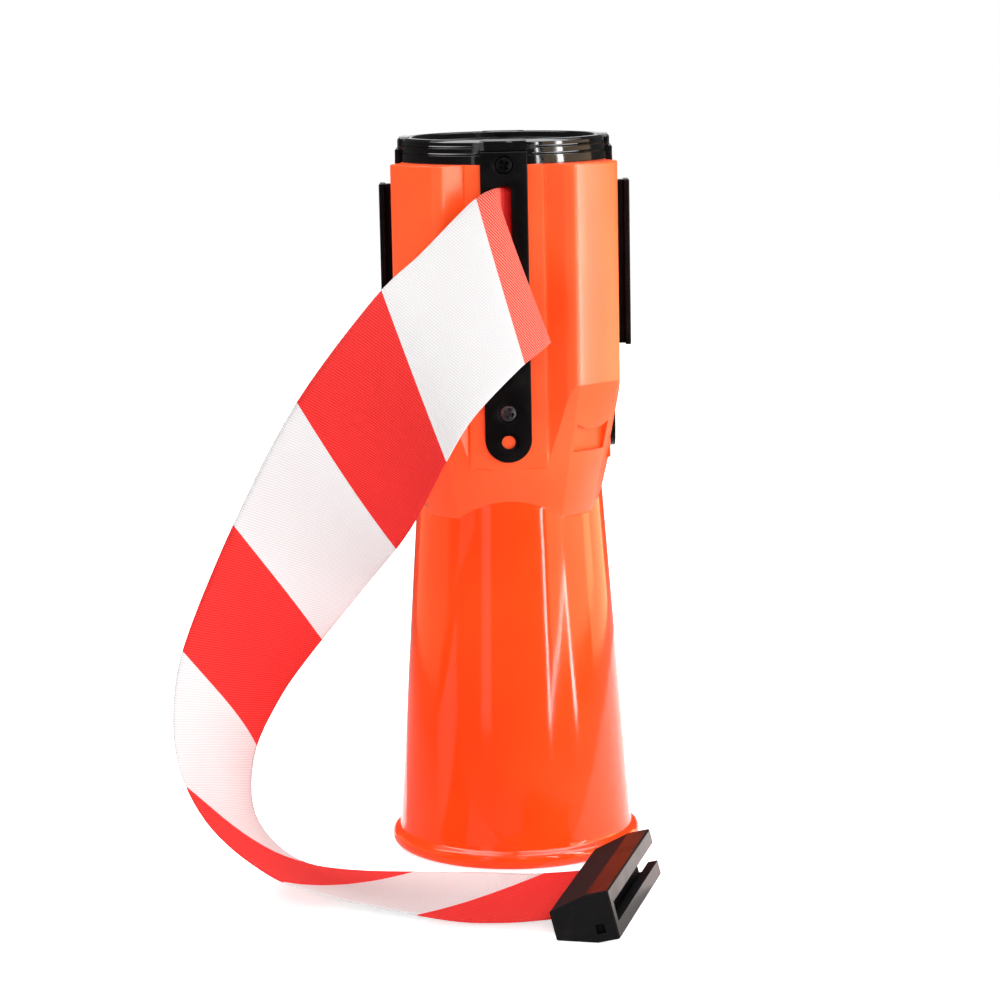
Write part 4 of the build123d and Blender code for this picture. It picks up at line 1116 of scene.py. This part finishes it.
def buildFloor():
    bm = bmesh.new()
    bmesh.ops.create_grid(bm, x_segments=1, y_segments=1, size=studio["floorHalf"])
    bmesh.ops.translate(bm, vec=(0, 0, -studio["floorDrop"]), verts=bm.verts)
    floor = placed("studio_floor", bm)
    material = bpy.data.materials.new("paintedFloorWhite")
    material.use_nodes = True
    tree = material.node_tree
    tree.nodes.remove(tree.nodes["Principled BSDF"])
    paint = addNode(tree, "ShaderNodeBsdfDiffuse", {"Color": hexColour(studio["floor"])})
    lift = addNode(tree, "ShaderNodeMath", {0: isSeen(tree), 1: studio["floorLift"]}, operation="MULTIPLY")
    glow = addNode(tree, "ShaderNodeEmission", {"Color": hexColour(plain), "Strength": lift.outputs[0]})
    total = addNode(tree, "ShaderNodeAddShader", {0: paint.outputs[0], 1: glow.outputs[0]})
    tree.links.new(total.outputs[0], tree.nodes["Material Output"].inputs["Surface"])
    floor.data.materials.append(material)


def buildWall():
    # The dim studio round the table, and the dim card round the bright spot, seen only in reflections
    d = dimWall
    bm = bmesh.new()
    section = [(d["nearEdge"], d["cardLift"]), (d["radius"], d["cardLift"]), (d["radius"], d["top"])]
    spun(bm, [(r / mm, z / mm) for r, z in section], Matrix.Translation(d["middle"]))
    wall = placed("studio_wall", bm)
    wall.visible_camera = False
    wall.visible_diffuse = False
    wall.visible_shadow = False
    wall.visible_transmission = False
    material, tree, shader = newMaterial("dimStudioWall", Roughness=1.0, Specular_IOR_Level=0.0,
                                         Base_Color=(0, 0, 0, 1), Emission_Color=hexColour(plain))
    place = addNode(tree, "ShaderNodeTexCoord", {}).outputs["Object"]
    offset = addNode(tree, "ShaderNodeVectorMath", {0: place, 1: d["middle"]}, operation="DISTANCE")
    fade = addNode(tree, "ShaderNodeMapRange", {
        "Value": offset.outputs["Value"], "From Min": d["nearEdge"], "From Max": d["farEdge"],
        "To Min": d["near"], "To Max": d["far"]}, interpolation_type="SMOOTHSTEP")
    tree.links.new(fade.outputs["Result"], shader.inputs["Emission Strength"])
    wall.data.materials.append(material)


def buildWorld():
    world = bpy.data.worlds.new("whiteRoom")
    scene.world = world
    world.use_nodes = True
    tree = world.node_tree
    level = addNode(tree, "ShaderNodeMapRange", {
        "Value": isSeen(tree), "To Min": studio["ambient"], "To Max": 1.0})
    back = tree.nodes["Background"]
    back.inputs["Color"].default_value = hexColour(plain)
    tree.links.new(level.outputs["Result"], back.inputs["Strength"])


def areaLamp(name, width, tall, power, place, up, shines, colour=plain):
    lamp = bpy.data.lights.new(name, "AREA")
    lamp.color = hexColour(colour)[:3]
    lamp.shape = "RECTANGLE"
    lamp.size = width
    lamp.size_y = tall
    lamp.energy = power
    holder = bpy.data.objects.new(name, lamp)
    side = up.cross(place - Vector(studio["aim"])).normalized()
    away = side.cross(up).normalized()
    turn = Matrix((side, up, away)).transposed().to_4x4()
    holder.matrix_world = Matrix.Translation(place) @ turn
    holder.visible_camera = False
    holder.visible_diffuse = not shines
    holder.visible_glossy = shines
    scene.collection.objects.link(holder)


def buildLamps():
    for name, lamp in softLamps.items():
        place = Vector(lamp["place"])
        away = (place - Vector(studio["aim"])).normalized()
        side = Vector((-away.y, away.x, 0)).normalized()
        areaLamp(name, *lamp["size"], lamp["power"], place, away.cross(side), False)
    for name, lamp in glossLamps.items():
        low = Vector(lamp["low"])
        high = Vector(lamp["high"])
        tall = (high - low).length
        power = lamp["glow"] * pi * lamp["width"] * tall
        up = (high - low).normalized()
        areaLamp(name, lamp["width"], tall, power, (low + high) / 2, up, True, lamp.get("colour", plain))


buildFloor()
buildWall()
buildWorld()
buildLamps()
scene.view_settings.view_transform = "Standard"
print("studio lit")
